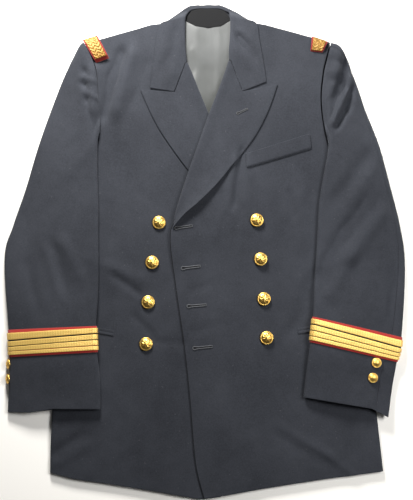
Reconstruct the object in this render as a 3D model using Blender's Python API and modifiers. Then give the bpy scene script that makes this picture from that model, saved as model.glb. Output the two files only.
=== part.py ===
import math

import bmesh
import bpy
from mathutils import Matrix, Vector

# Sizes in millimetres, scaled to metres when a mesh is stored
MM = 0.001
MERGE = 0.00002
PICTURE_MIDDLE_Y = 10.0

# Thickness of the cloths, and the gap and the room that each layer takes
CLOTH = 1.6
LINING = 1.0
LACE = 1.0
GAP = 0.3
LAYER = 2.2
# Heights of the body's layers above the surface that it lies on
BACK_MID = 0.8
FRONT_MID = 6.0
CHEST_RISE = 2.6
NECK_RAISE = 2.3
OVER_LAPEL = 3.5
PANEL_LENGTH = 760.0
FOLD_RADIUS = 6.0
# Distances of the closest columns from a fold
EDGE_STEPS = (0.0, 0.3, 1.8, 6.0)
# Columns and rows of the body's grids; the back's rows are closer near the neck
BACK_COLUMNS = 8
BACK_ROWS_AT = (0, 0.13, 0.26, 0.4, 0.54, 0.68, 0.77, 0.83, 0.87, 0.9, 0.93, 0.96, 1.0)
FRONT_COLUMNS = 13
FRONT_ROW_COUNT = 21
# Roll of the lapels and of the collar: angles from lying flat, from the inside out
ROLL_RADIUS = 3.0
ROLL_BULGE = 1.2
ROLL_INSET = 4.6
LAPEL_ANGLES = (130, 88, 45, 0)
LAPEL_DROP = 1.2
LAPEL_LIFT = 8.0
COLLAR_ANGLES = (130, 88, 45)
COLLAR_DROP = 1.4
COLLAR_LEAF = 62.0
COLLAR_FLAT_STEP = 0.8
COLLAR_TOP_BEHIND = 4.2
STAND_RISE = 2.0
STAND_FALL = 0.8
WELT_RISE = 0.7
# Sleeve: its folds, the floor under it, its bow and its bulge
SLEEVE_EDGE = 5.6
EDGE_START = 0.17
CORNER_EDGE = 2.4
CORNER_SHIFT = 2.6
SLEEVE_FLOOR = 1.1
SLEEVE_BULGE = 5.0
SLEEVE_CLEAR = 3.2
SLEEVE_HOLLOW = 3.6
RAMP_START = 8.0
RAMP_END = 34.0
BACK_LAP = 1.9
HEM_DROP = 2.0
UNDER_BOW = 9.0
UPPER_FADE = 2.4
HEAD_SLANT = 0.25
# How the sleeve head's fold swells beside the shoulder: power across, power of the row
HEAD_ACROSS = 2
HEAD_ROW = 0.7
ARMHOLE_INSET = 0.6
ARMHOLE_STEPS = 16
SLEEVE_ROWS = 20
UPPER_COLUMNS = 7
UNDER_COLUMNS = 8
# Cuff band: its place along the sleeve in table rows, and the room round it
BAND_FIRST_ROW = 7.0
BAND_LAST_ROW = 8.0
BAND_ROOM = 3.6
BAND_INSIDE = 0.2
STRIPE_ROOM = 0.4

# Closest folds of the body: x0, y0, x1, y1, height, width
BODY_FOLDS = (
    (-140, 352, -172, 235, 1.6, 13),
    (-112, 330, -178, 215, -1.2, 14),
    (-155, -28, -98, -50, 1.0, 12),
    (-82, -140, -30, -146, -0.9, 10),
    (143, 70, 162, -70, -1.0, 12),
    (110, -255, 245, -340, 1.3, 16),
    (-240, -335, -200, -300, -1.0, 14),
)
# Closest folds of the sleeves: x0, y0, x1, y1, height, width
SLEEVE_FOLDS = (
    (245, 280, 214, 212, 2.0, 11),
    (262, 262, 228, 205, -1.6, 9),
    (282, 85, 212, 28, -2.4, 20),
    (306, 30, 222, -40, 1.6, 14),
    (-222, 276, -176, 240, -1.2, 14),
    (-176, 180, -226, 130, 1.0, 12),
    (-228, 12, -204, -40, 2.0, 11),
    (-246, 4, -226, -62, -1.6, 9),
    (-258, 0, -238, -62, 1.6, 9),
)

# Front edge and roll line with the side and armhole: inner x, y, outer x, y
FRONT_RIGHT_ROWS = (
    (26, -394, -247, -356),
    (32, -330, -247, -300),
    (42, -240, -244, -220),
    (51, -150, -237, -140),
    (60, -60, -231, -60),
    (68, 26, -234, 30),
    (53, 78, -238, 95),
    (38, 127, -206, 112),
    (23, 175, -183, 150),
    (8, 226, -174.5, 205),
    (-7, 264, -177, 256),
    (-25, 303, -180, 300),
    (-35, 345, -189, 328),
    (-40, 386, -202, 352),
)
FRONT_LEFT_ROWS = (
    (-1, -396, 286, -354),
    (-15, -340, 283, -320),
    (-24, -240, 275, -235),
    (-34, -150, 266, -145),
    (-47, -62, 261, -70),
    (-57, 26, 265, 30),
    (-43, 80, 268, 103),
    (-27, 130, 238, 120),
    (-11, 176, 213, 152),
    (7, 227, 199, 205),
    (21, 264, 194, 256),
    (36, 303, 198, 300),
    (46, 345, 204, 326),
    (51, 387, 212, 351),
)
HEM_RIGHT = ((26, -394), (-7, -397.5), (-47, -391), (-87, -384), (-147, -374.5),
             (-208, -366), (-247, -356))
HEM_LEFT = ((-1, -396), (8, -396), (73, -384.5), (133, -375), (193, -366),
            (240, -360), (286, -354))
SHOULDER_RIGHT = ((-40, 386), (-60, 381.5), (-74, 378.8), (-87, 380.6), (-108, 376.5), (-141, 368),
                  (-175, 360), (-202, 352))
SHOULDER_LEFT = ((51, 387), (72, 382), (86, 380.2), (99, 382), (130, 375.5), (175, 362.5), (198, 355.5),
                 (212, 351))

# Centre back seam with the side and the back of the armhole: inner x, y, outer x, y
BACK_RIGHT_ROWS = (
    (17, -386, -245.5, -354),
    (15, -250, -243.5, -230),
    (12, -120, -235, -120),
    (9, 0, -231, -10),
    (7, 90, -236, 94),
    (6, 190, -222, 150),
    (6, 260, -207, 215),
    (6, 320, -202, 285),
    (6, 379, -201, 350),
)
BACK_LEFT_ROWS = (
    (17, -386, 284.5, -352),
    (15, -250, 275, -235),
    (12, -120, 264.5, -125),
    (9, 0, 263, 0),
    (7, 90, 266, 102),
    (6, 190, 252, 155),
    (6, 260, 237, 215),
    (6, 320, 224, 285),
    (6, 379, 211, 346.5),
)
BACK_TOP_RIGHT = ((6, 379), (-15, 382), (-34, 391), (-75, 376.8), (-87, 378.6), (-108, 374.5), (-141, 366),
                  (-175, 358), (-201, 350))
BACK_TOP_LEFT = ((6, 379), (27, 382), (46, 392), (86, 378.2), (99, 380), (130, 373.5), (175, 360),
                 (211, 346.5))

# Inner and outer fold of each sleeve: inner x, y, outer x, y
SLEEVE_RIGHT_ROWS = (
    (-174, 200, -204, 351.5),
    (-176, 165, -229.5, 308),
    (-176, 120, -253.5, 245),
    (-175, 75, -276.5, 175),
    (-175, 30, -295.5, 105),
    (-174, -20, -315.5, 42),
    (-174, -72, -328, -10),
    (-176, -122, -318, -128),
    (-174, -164, -315, -172),
    (-169, -209, -316, -215),
    (-168, -255, -317, -260),
)
SLEEVE_LEFT_ROWS = (
    (204, 190, 217, 352),
    (203, 165, 246.5, 302),
    (197, 130, 267.5, 240),
    (190, 85, 289.5, 180),
    (187, 40, 306.5, 112),
    (184, -5, 322, 43),
    (180, -58, 328.5, -22),
    (177, -107, 319.5, -140),
    (172, -148, 311, -180),
    (166, -190, 303.5, -218),
    (160, -236, 295, -268),
)
CUFF_RIGHT = ((-168, -255), (-243, -255.5), (-277, -262), (-316, -262))
CUFF_LEFT = ((160, -236), (270, -257.5), (277, -262.5), (295, -272))

# Roll line and outer edge of each lapel: roll x, y, edge x, y
LAPEL_RIGHT_ROWS = (
    (61, 54, 64, 38),
    (54, 76, 44, 60),
    (44, 108, 19, 82),
    (32, 146, -8, 112),
    (20, 186, -31, 141),
    (8, 226, -53, 171),
    (-7, 264, -75, 204),
    (-18, 292, -92, 237),
    (-29, 319, -107, 272),
)
LAPEL_LEFT_ROWS = (
    (-50, 53, -52.5, 37),
    (-43, 78, -34, 59),
    (-33, 110, -8, 82),
    (-21, 146, 20, 111),
    (-7, 186, 45, 142),
    (7, 227, 66, 168),
    (21, 264, 88, 200),
    (31, 292, 107, 238),
    (41, 322, 122, 281),
)
NOTCH_RIGHT = (-50, 268)
NOTCH_LEFT = (63, 269)
NOTCH_COLUMN = 4
LAPEL_COLUMNS = 8
LAPEL_ROW_COUNT = 14
LAPEL_FADE = 5.0

# Leaf of the collar, from the right end round the back: roll x, y, silhouette x, y,
# edge x, y, share of the leaf that lies on top
COLLAR_ROWS = (
    (-30, 320.5, -91, 275, -91, 275, 1.00),
    (-32, 338, -88, 296, -88, 296, 1.00),
    (-33, 358, -85, 323, -85, 323, 1.00),
    (-33, 378, -81, 356, -81, 356, 1.00),
    (-33, 391, -76, 384, -76, 384, 1.00),
    (-32, 400, -63, 391, -70, 376, 0.72),
    (-29, 408, -46, 405, -54, 364, 0.38),
    (-23, 414.5, -28, 418, -31, 358, 0.17),
    (-10, 417, -11, 421, -13, 356, 0.07),
    (6, 417, 6, 421, 6, 355, 0.07),
    (23, 417, 24, 421, 26, 356, 0.07),
    (33, 414, 37.5, 416, 41, 358, 0.15),
    (42, 409, 57, 406, 64, 364, 0.38),
    (43.5, 400, 74, 393, 81, 377, 0.72),
    (44, 391, 88, 386, 88, 386, 1.00),
    (44, 378, 92, 360, 92, 360, 1.00),
    (43, 358, 97, 330, 97, 330, 1.00),
    (41.5, 340, 101, 306, 101, 306, 1.00),
    (42, 323.5, 103, 286, 103, 286, 1.00),
)
COLLAR_CORNER_RIGHT = ((-30, 320.5), (-51, 269.2), (-91, 275))
COLLAR_CORNER_LEFT = ((42, 323.5), (64.2, 270.2), (103, 286))
COLLAR_FADE = 3.0
COLLAR_ROW_COUNT = 27
COLLAR_COLUMNS = 10
NECK_SEAM = ((-33, 393), (-15, 383.2), (6, 380.2), (27, 383.2), (45, 394))
STAND_TOP = ((-28, 402), (-22, 410.5), (-10, 413.6), (6, 413.6), (23, 413.6), (34, 410.5), (40, 403))
# Lining of the back where the neck shows it: left x, right x, y
LINING_ROWS = ((-12, 26, 212), (-44, 56, 275), (-54, 66, 330), (-48, 60, 362), (-33, 45, 392))
LINING_STEPS = 8
LINING_SEAM_ROOM = 0.8
LINING_CLEAR = 0.1

WELT = ((68.5, 163), (175, 197), (178, 171), (70, 138))
# Jets of the lower pockets: name, inner x, y, outer x, y
JETS = (("pocket_jet_right", -148, -133.5, -222, -120), ("pocket_jet_left", 152, -130, 246, -115))
JET_WIDTH = 9.0
# Shoulder loops: name, four corners of the lace
LOOPS = (
    ("right", ((-205, 357), (-180.5, 365), (-160, 326), (-182, 318))),
    ("left", ((181, 365.5), (208, 356), (198, 336), (178, 337.5))),
)
LOOP_STEPS = (0.0, 0.05, 0.1, 0.16, 0.33, 0.5, 0.67, 0.84, 1.0)
LOOP_ARCH = 2.4
LOOP_TURN = 1.6
# Front buttons: number, x, y; the first four on the right front
FRONT_BUTTONS = (
    (1, -75, 48), (2, -86, -18), (3, -92, -83), (4, -95, -151),
    (5, 86, 51), (6, 92, -13), (7, 97, -78), (8, 101, -141),
)
BUTTON_RADIUS = 11.0
CUFF_BUTTON_RADIUS = 8.0
# Cuff buttons of the left sleeve (on top): number, x, y
CUFF_BUTTONS_TOP = ((1, 277, -181), (2, 271, -205))
# Cuff buttons of the right sleeve (at its edge): number, y
CUFF_BUTTONS_EDGE = ((3, -183), (4, -207))
# Button outline: share of radius, share of radius as height
BUTTON_PROFILE = ((0.0, 0.0), (0.90, 0.0), (1.0, 0.08), (1.0, 0.20), (0.86, 0.34), (0.55, 0.50),
                  (0.0, 0.58))
BUTTON_SEGMENTS = 12
CUFF_BUTTON_INSET = 1.1
CUFF_BUTTON_HEIGHT = 7.6
CUFF_BUTTON_TILT = -62.0
# Stripes of the cuff band: first and last share of the band's width
STRIPES = ((0.05, 0.22), (0.35, 0.52), (0.57, 0.74), (0.79, 0.95))

NAVY = (0.030, 0.034, 0.046, 1.0)
NAVY_DARK = (0.018, 0.020, 0.028, 1.0)
GREY = (0.30, 0.31, 0.32, 1.0)
GOLD = (0.72, 0.46, 0.13, 1.0)
RED = (0.33, 0.02, 0.015, 1.0)
BRASS = (0.83, 0.62, 0.28, 1.0)


def make_material(name, colour, roughness, metallic):
    material = bpy.data.materials.new(name)
    material.use_nodes = True
    shader = material.node_tree.nodes["Principled BSDF"]
    shader.inputs["Base Color"].default_value = colour
    shader.inputs["Roughness"].default_value = roughness
    shader.inputs["Metallic"].default_value = metallic
    material.diffuse_color = colour
    return material


def smooth_step(low, high, value):
    share = min(max((value - low) / (high - low), 0.0), 1.0)
    return share * share * (3 - 2 * share)


def along(rows, position):
    """Smooth interpolation of the rows of a table; position counts rows."""
    last = len(rows) - 1
    position = min(max(position, 0.0), float(last))
    index = min(int(position), last - 1)
    share = position - index
    before = rows[max(index - 1, 0)]
    start = rows[index]
    end = rows[index + 1]
    after = rows[min(index + 2, last)]
    values = []
    for a, b, c, d in zip(before, start, end, after):
        tangent_b = (c - a) / 2
        tangent_c = (d - b) / 2
        values.append((2 * share ** 3 - 3 * share ** 2 + 1) * b
                      + (share ** 3 - 2 * share ** 2 + share) * tangent_b
                      + (3 * share ** 2 - 2 * share ** 3) * c
                      + (share ** 3 - share ** 2) * tangent_c)
    return values


def on_line(points, share):
    """Point of a polyline at a share of its length."""
    lengths = [math.dist(a, b) for a, b in zip(points, points[1:])]
    left = share * sum(lengths)
    for start, end, length in zip(points, points[1:], lengths):
        if left <= length or end is points[-1]:
            part = min(left / length, 1.0)
            return (start[0] + (end[0] - start[0]) * part, start[1] + (end[1] - start[1]) * part)
        left -= length
    return points[-1]


def table_x(rows, y, x_column, y_column):
    """The x of a boundary in a table at a height y, straight between the rows."""
    for low, high in zip(rows, rows[1:]):
        if low[y_column] <= y <= high[y_column] and high[y_column] > low[y_column]:
            share = (y - low[y_column]) / (high[y_column] - low[y_column])
            return low[x_column] + (high[x_column] - low[x_column]) * share
    return rows[0][x_column] if y < rows[0][y_column] else rows[-1][x_column]


def folds(table, x, y):
    total = 0.0
    for x0, y0, x1, y1, height, width in table:
        length = math.hypot(x1 - x0, y1 - y0)
        step_x = (x1 - x0) / length
        step_y = (y1 - y0) / length
        run = (x - x0) * step_x + (y - y0) * step_y
        side = (y - y0) * step_x - (x - x0) * step_y
        beyond = max(-run, run - length, 0.0)
        total += height * math.exp(-(side / width) ** 2 - (beyond / (1.6 * width)) ** 2)
    return total


def neck_raise(x, y):
    return NECK_RAISE * smooth_step(300, 350, y) * (1 - smooth_step(92, 125, abs(x - 6)))


def ground(x, y):
    """Middle of the cloth of the right front, and of the left one beside the overlap."""
    chest = max(math.exp(-((x + 100) / 75) ** 2 - ((y - 200) / 120) ** 2),
                math.exp(-((x - 115) / 75) ** 2 - ((y - 200) / 120) ** 2))
    return FRONT_MID + CHEST_RISE * chest + neck_raise(x, y) + folds(BODY_FOLDS, x, y)


def left_front_height(x, y):
    edge = table_x(FRONT_RIGHT_ROWS, y, 0, 1)
    beside = 1 - smooth_step(edge + 12, edge + 80, x)
    lapel = smooth_step(-55, 30, y)
    return ground(x, y) + (LAYER + OVER_LAPEL * lapel) * beside


def body_height(x, y):
    return ground(x, y) if x < 6 else left_front_height(x, y)


def round_off(distance):
    """Share of the full height near a fold, by the distance from the fold."""
    share = min(max(distance / FOLD_RADIUS, 0.0), 1.0)
    return (1 - (1 - share) ** 2.5) ** 0.4


def store(name, mesh_builder, material, collection, smooth=True):
    bm = bmesh.new()
    mesh_builder(bm)
    bmesh.ops.scale(bm, vec=(MM, MM, MM), verts=bm.verts)
    bmesh.ops.translate(bm, vec=(0, -PICTURE_MIDDLE_Y * MM, 0), verts=bm.verts)
    bmesh.ops.remove_doubles(bm, verts=bm.verts, dist=MERGE)
    bmesh.ops.recalc_face_normals(bm, faces=bm.faces)
    mesh = bpy.data.meshes.new(name)
    bm.to_mesh(mesh)
    bm.free()
    mesh.materials.append(material)
    thing = bpy.data.objects.new(name, mesh)
    collection.objects.link(thing)
    for face in mesh.polygons:
        face.use_smooth = smooth
    return thing


def split_faces(thing):
    """Fixes how bent four-sided faces are split, so clearances hold in every export."""
    split = thing.modifiers.new("Split faces", "TRIANGULATE")
    split.quad_method = "BEAUTY"
    return thing


def sheet(name, columns, rows, place, thickness, material, collection):
    """A cloth panel: a grid laid through place(column, row), thickened on both sides."""
    def build(bm):
        bmesh.ops.create_grid(bm, x_segments=columns, y_segments=rows, size=1.0)
        for vert in bm.verts:
            column = round((vert.co.x + 1) / 2 * columns)
            row = round((vert.co.y + 1) / 2 * rows)
            vert.co = Vector(place(column, row))

    thing = store(name, build, material, collection)
    solid = thing.modifiers.new("Cloth", "SOLIDIFY")
    solid.thickness = thickness * MM
    solid.offset = 0.0
    return split_faces(thing)


def spaced(middle, width, first, last):
    """Shares across a width: close spacing near a rounded end, even spacing between."""
    start = [value / width for value in EDGE_STEPS] if first else [0.0]
    end = [1 - value / width for value in reversed(EDGE_STEPS)] if last else [1.0]
    low = start[-1]
    high = end[0]
    between = [low + (high - low) * step / middle for step in range(1, middle)]
    return start + between + end


def front(name, table, hem, shoulder, height, material, collection):
    row_shares = spaced(FRONT_ROW_COUNT, PANEL_LENGTH, False, True)
    columns = len(spaced(FRONT_COLUMNS, PANEL_LENGTH, False, True)) - 1
    last = len(table) - 1

    def place(column, row):
        position = row_shares[row] * last
        inner_x, inner_y, outer_x, outer_y = along(table, position)
        way = 1 if outer_x > inner_x else -1
        inner_x += way * ROLL_INSET * smooth_step(4.85, 5.15, position)
        width = abs(outer_x - inner_x)
        across = spaced(FRONT_COLUMNS, width, False, True)[column]
        x = inner_x + (outer_x - inner_x) * across
        y = inner_y + (outer_y - inner_y) * across
        up = row_shares[row]
        for line, weight in ((hem, max(0.0, 1 - up * 6)), (shoulder, max(0.0, up * 5 - 4))):
            if weight > 0:
                bent = on_line(line, across)
                start = line[0]
                end = line[-1]
                x += weight * (bent[0] - start[0] - (end[0] - start[0]) * across)
                y += weight * (bent[1] - start[1] - (end[1] - start[1]) * across)
        base = BACK_MID + CLOTH + GAP + neck_raise(x, y)
        side = 1 - smooth_step(5.2, 6.3, position)
        full = round_off(width * (1 - across)) * side + (1 - side)
        top_distance = (1 - up) * PANEL_LENGTH
        full = min(full, round_off(top_distance))
        return x, y, base + (height(x, y) - base) * full

    return sheet(name, columns, len(row_shares) - 1, place, CLOTH, material, collection)


def back(name, table, top, material, collection):
    last = len(table) - 1
    way = 1 if table[0][2] > table[0][0] else -1

    def place(column, row):
        up = BACK_ROWS_AT[row]
        inner_x, inner_y, outer_x, outer_y = along(table, up * last)
        across = column / BACK_COLUMNS
        inner_x += way * GAP / 2
        x = inner_x + (outer_x - inner_x) * across
        y = inner_y + (outer_y - inner_y) * across
        weight = max(0.0, up * 6 - 5)
        bent = on_line(top, across)
        x += weight * (bent[0] - top[0][0] - (top[-1][0] - top[0][0]) * across)
        y += weight * (bent[1] - top[0][1] - (top[-1][1] - top[0][1]) * across)
        return x, y, BACK_MID + neck_raise(x, y)

    return sheet(name, BACK_COLUMNS, len(BACK_ROWS_AT) - 1, place, CLOTH, material, collection)


class Sleeve:
    """A flattened tube; rows run from the armhole to the cuff, sides are top and under."""

    def __init__(self, table, side_rows, back_rows, cuff, corner, head_round, wrap):
        self.table = table
        self.head_round = head_round
        self.side_rows = side_rows
        self.back_rows = back_rows
        self.cuff = cuff
        self.wrap = wrap
        self.way = 1 if table[0][2] > 0 else -1
        last = len(side_rows) - 1
        self.armhole = []
        for step in range(ARMHOLE_STEPS + 1):
            point = along(side_rows, corner + (last - corner) * step / ARMHOLE_STEPS)
            self.armhole.append((point[2] - self.way * ARMHOLE_INSET, point[3]))

    def chord(self, row):
        inner_x, inner_y, outer_x, outer_y = along(self.table, row)
        return (inner_x, inner_y), (outer_x, outer_y), math.dist((inner_x, inner_y),
                                                                 (outer_x, outer_y))

    def plan(self, row, across, top):
        inner, outer, _ = self.chord(row)
        x = inner[0] + (outer[0] - inner[0]) * across
        y = inner[1] + (outer[1] - inner[1]) * across
        if top:
            weight = max(0.0, 1 - row / UPPER_FADE)
            line = self.armhole
            bent = on_line(line, across)
            x += weight * (bent[0] - line[0][0] - (line[-1][0] - line[0][0]) * across)
            y += weight * (bent[1] - line[0][1] - (line[-1][1] - line[0][1]) * across)
        corner = min(row * 2, max(0.0, 1 - (row - 0.5) / 3)) * (1 - smooth_step(0, 0.4, across))
        x += self.way * CORNER_SHIFT * corner
        weight = smooth_step(8.4, 10, row)
        bent = on_line(self.cuff, across)
        x += weight * (bent[0] - self.cuff[0][0] - (self.cuff[-1][0] - self.cuff[0][0]) * across)
        y += weight * (bent[1] - self.cuff[0][1] - (self.cuff[-1][1] - self.cuff[0][1]) * across)
        if row < 1:
            x += self.way * self.head_round * across ** HEAD_ACROSS * math.sin(math.pi * row ** HEAD_ROW)
        if not top:
            bow = math.sin(math.pi * across ** 0.6) ** 2
            x += self.way * UNDER_BOW * max(0.0, 1 - row) * bow
            y -= HEM_DROP * smooth_step(9, 10, row) * bow
        return x, y

    def slant(self, row):
        """Sine of the angle at which the rows meet the inner fold."""
        return HEAD_SLANT + (1 - HEAD_SLANT) * smooth_step(0.5, 5, row)

    def floor(self, x, y, row):
        """Middle of the under cloth: over the body inside its side fold, then down."""
        out = (x - table_x(self.side_rows, y - 9, 2, 3)) * self.way
        out_back = (x - table_x(self.back_rows, y - 9, 2, 3)) * self.way
        over = body_height(x, y) + SLEEVE_CLEAR
        room = BAND_ROOM * smooth_step(5.6, 6.7, row) * (1 - smooth_step(8.2, 9.6, row))
        low = SLEEVE_FLOOR + max(room, BACK_LAP * (1 - smooth_step(6, 26, out_back)))
        return low + (over + room * 0.9 - low) * (1 - smooth_step(RAMP_START, RAMP_END, out))

    def heights(self, row):
        inner, outer, width = self.chord(row)
        return (self.floor(inner[0], inner[1], row), self.floor(outer[0], outer[1], row), width)

    def point(self, row, across, top, extra=0.0):
        """A point of the tube; extra moves it outward from the cloth."""
        x, y = self.plan(row, across, top)
        low_inner, low_outer, width = self.heights(row)
        near = 0 if across < 0.5 else 1
        distance = (1 - across) * width if near else across * width * self.slant(row)
        full = max(round_off(distance), EDGE_START)
        begun = smooth_step(0, 1.5, row) if near == 0 else 1.0
        edge = CORNER_EDGE + (SLEEVE_EDGE - CORNER_EDGE) * begun
        middle = (low_inner, low_outer)[near] + edge / 2
        full = 1 - (1 - full) * begun
        if top:
            crown = low_inner + (low_outer - low_inner) * across + edge
            crown += SLEEVE_BULGE * math.sin(math.pi * across)
            crown += folds(SLEEVE_FOLDS, x, y) * smooth_step(0.0, 0.18, min(across, 1 - across))
            low = self.floor(x, y, row) + SLEEVE_HOLLOW
            if crown < low + 2:
                crown += (low + 2 - crown) ** 2 / 8 if crown > low - 2 else low - crown
            seam = body_height(x, y) + CLOTH + 0.4
            corner = 1.2 * (1 - smooth_step(0.0, 0.2, across))
            crown = seam + (crown - seam) * smooth_step(0, 1.2, row + corner + 1.2 * across ** 4)
            half = crown - middle
            z = middle + half * full
        else:
            half = middle - self.floor(x, y, row)
            z = middle - half * full
        if extra:
            out = math.sqrt(1 - full * full) / FOLD_RADIUS
            up = full / max(abs(half), 0.5)
            norm = math.hypot(out, up)
            z += extra * up / norm * (1 if top else -1)
            x += extra * out / norm * self.way * (1 if near else -1)
        return x, y, z


def sleeve_columns(middle, width, seam, slant):
    """Shares across the tube with close spacing at both folds, or up to a seam on top."""
    start = [value / width / slant for value in EDGE_STEPS]
    end = [1 - seam / width] if seam else [1 - value / width for value in reversed(EDGE_STEPS)]
    low = start[-1]
    high = end[0]
    return start + [low + (high - low) * step / middle for step in range(1, middle)] + end


def seam_distance(row):
    """How far the visible back seam of the left sleeve runs inside the outer fold."""
    return 7.0 + 16.0 * smooth_step(4.5, 9.0, row)


def build_sleeve(label, tube, cloth, collection):
    step = (len(tube.table) - 1) / SLEEVE_ROWS

    def upper_shares(position):
        seam = seam_distance(position) if tube.wrap else 0
        return sleeve_columns(UPPER_COLUMNS, tube.chord(position)[2], seam, tube.slant(position))

    def upper_place(column, row):
        return tube.point(row * step, upper_shares(row * step)[column], True)

    columns = len(upper_shares(0.0)) - 1
    sheet("sleeve_upper_" + label, columns, SLEEVE_ROWS, upper_place, CLOTH, cloth, collection)

    def under_path(position):
        width = tube.chord(position)[2]
        path = [(share, False) for share in sleeve_columns(UNDER_COLUMNS, width, 0, tube.slant(position))]
        if tube.wrap:
            path += [(1 - value / width, True) for value in EDGE_STEPS[1:]]
            path.append((1 - (seam_distance(position) - GAP) / width, True))
        return path

    def under_place(column, row):
        share, top = under_path(row * step)[column]
        return tube.point(row * step, share, top)

    columns = len(under_path(0.0)) - 1
    sheet("sleeve_under_" + label, columns, SLEEVE_ROWS, under_place, CLOTH, cloth, collection)


def ring(name, tube, rows, inside, thickness, material, collection):
    """A closed band round the sleeve between two rows of the tube."""
    width = tube.chord(rows[0])[2]
    path = [(share, True) for share in sleeve_columns(UPPER_COLUMNS, width, 0, 1.0)]
    path += [(share, False) for share in sleeve_columns(UNDER_COLUMNS, width, 0, 1.0)[-2:0:-1]]

    def build(bm):
        loops = []
        levels = [(row, inside) for row in rows] + [(row, inside + thickness) for row in reversed(rows)]
        for row, extra in levels:
            points = [tube.point(row, share, top, extra) for share, top in path]
            loops.append([bm.verts.new(point) for point in points])
        for one, two in zip(loops, loops[1:] + loops[:1]):
            for index in range(len(path)):
                following = (index + 1) % len(path)
                bm.faces.new((one[index], one[following], two[following], two[index]))

    return split_faces(store(name, build, material, collection))


def bend(x, y, start, corner, end, corner_share, across, weight):
    """Move a point of a straight row toward a line that turns at a corner."""
    if across <= corner_share:
        part = across / corner_share
        line_x = start[0] + (corner[0] - start[0]) * part
        line_y = start[1] + (corner[1] - start[1]) * part
    else:
        part = (across - corner_share) / (1 - corner_share)
        line_x = corner[0] + (end[0] - corner[0]) * part
        line_y = corner[1] + (end[1] - corner[1]) * part
    x += weight * (line_x - start[0] - (end[0] - start[0]) * across)
    y += weight * (line_y - start[1] - (end[1] - start[1]) * across)
    return x, y


def lapel_place(table, notch, columns, height, lift):
    last = len(table) - 1
    way = 1 if table[-1][2] > table[-1][0] else -1
    notch_share = NOTCH_COLUMN / columns

    def place(column, row):
        position = row / LAPEL_ROW_COUNT * last
        roll_x, roll_y, edge_x, edge_y = along(table, position)
        width = math.hypot(edge_x - roll_x, edge_y - roll_y)
        before = along(table, position - 0.2)
        after = along(table, position + 0.2)
        run = math.hypot(after[0] - before[0], after[1] - before[1])
        radius = ROLL_RADIUS * (0.5 + 0.5 * smooth_step(0.0, 1.5, position))
        turn_x = way * radius * (after[1] - before[1]) / run
        turn_y = -way * radius * (after[0] - before[0]) / run
        in_roll = column < len(LAPEL_ANGLES)
        across = 0.0 if in_roll else (column - len(LAPEL_ANGLES) + 1) / columns
        x = roll_x + turn_x + (edge_x - roll_x - turn_x) * across
        y = roll_y + turn_y + (edge_y - roll_y - turn_y) * across
        top_row = table[-1]
        start = (top_row[0] + turn_x, top_row[1] + turn_y)
        end = (top_row[2], top_row[3])
        weight = max(0.0, 1 - (last - position) / LAPEL_FADE)
        x, y = bend(x, y, start, notch, end, notch_share, across, weight)
        base = height(x, y)
        near_roll = 1 - smooth_step(0, 20, width * across)
        z = base + LAYER + ROLL_BULGE * near_roll
        z += lift * across ** 2 * math.exp(-((position - 2.4) / 1.5) ** 2) * smooth_step(0, 0.8, position)
        if in_roll:
            angle = math.radians(LAPEL_ANGLES[column]) * (0.35 + 0.65 * smooth_step(0, 1.5, position))
            drop = LAPEL_DROP * smooth_step(236, 262, roll_y)
            half = (LAYER + ROLL_BULGE + drop) / 2
            x = roll_x + (x - roll_x) * (1 - math.sin(angle))
            y = roll_y + (y - roll_y) * (1 - math.sin(angle))
            z = z - half + half * math.cos(angle)
        return x, y, z

    return place, columns + len(LAPEL_ANGLES) - 1


def collar_place(columns):
    last = len(COLLAR_ROWS) - 1

    def place(column, row):
        position = row / COLLAR_ROW_COUNT * last
        roll_x, roll_y, turn_x, turn_y, edge_x, edge_y, share_top = along(COLLAR_ROWS, position)
        share_top = min(max(share_top, 0.05), 1.0)
        in_roll = column < len(COLLAR_ANGLES)
        across = 0.0 if in_roll else (column - len(COLLAR_ANGLES)) / columns
        right_side = position < last / 2
        top_z = body_height(roll_x, roll_y) + LAYER + ROLL_BULGE
        back_of_neck = smooth_step(392, 411, roll_y)
        top_z += (COLLAR_TOP_BEHIND - top_z) * back_of_neck
        low_z = CLOTH / 2 + 0.05
        reach = math.hypot(turn_x - roll_x, turn_y - roll_y)
        step_x = (turn_x - roll_x) / reach * ROLL_RADIUS * (1 - back_of_neck)
        step_y = (turn_y - roll_y) / reach * ROLL_RADIUS * (1 - back_of_neck)
        if across < share_top:
            part = across / share_top
            x = roll_x + step_x + (turn_x - roll_x - step_x) * part
            y = roll_y + step_y + (turn_y - roll_y - step_y) * part
        else:
            part = (across - share_top) / max(1 - share_top, 0.001)
            x = turn_x + (edge_x - turn_x) * part
            y = turn_y + (edge_y - turn_y) * part
        end = position if right_side else last - position
        weight = max(0.0, 1 - end / COLLAR_FADE)
        line = COLLAR_CORNER_RIGHT if right_side else COLLAR_CORNER_LEFT
        start = (line[0][0] + step_x, line[0][1] + step_y)
        x, y = bend(x, y, start, line[1], line[2], 0.5, across, weight)
        distance = (across - share_top) * COLLAR_LEAF
        body_top = body_height(x, y) + LAYER + ROLL_BULGE * (1 - smooth_step(0, 0.4, across))
        on_top = body_top + (top_z - body_top) * back_of_neck
        middle = (on_top + low_z) / 2
        full = round_off(abs(distance) * 1.2)
        turned = middle + (on_top - middle) * full if distance < 0 else middle - (middle - low_z) * full
        z = on_top + (turned - on_top) * (1 - smooth_step(0.985, 1.0, share_top))
        if in_roll:
            angle = math.radians(COLLAR_ANGLES[column])
            half = (LAYER + ROLL_BULGE + COLLAR_DROP) / 2
            curl_x = roll_x + step_x * (1 - math.sin(angle))
            curl_y = roll_y + step_y * (1 - math.sin(angle))
            curl_z = z - half + half * math.cos(angle)
            flat = (len(COLLAR_ANGLES) - column) * COLLAR_FLAT_STEP
            x = curl_x + (roll_x - curl_x) * back_of_neck
            y = curl_y + (roll_y - flat - curl_y) * back_of_neck
            z = curl_z + (z - curl_z) * back_of_neck
        return x, y, z

    return place, columns + len(COLLAR_ANGLES)


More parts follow.
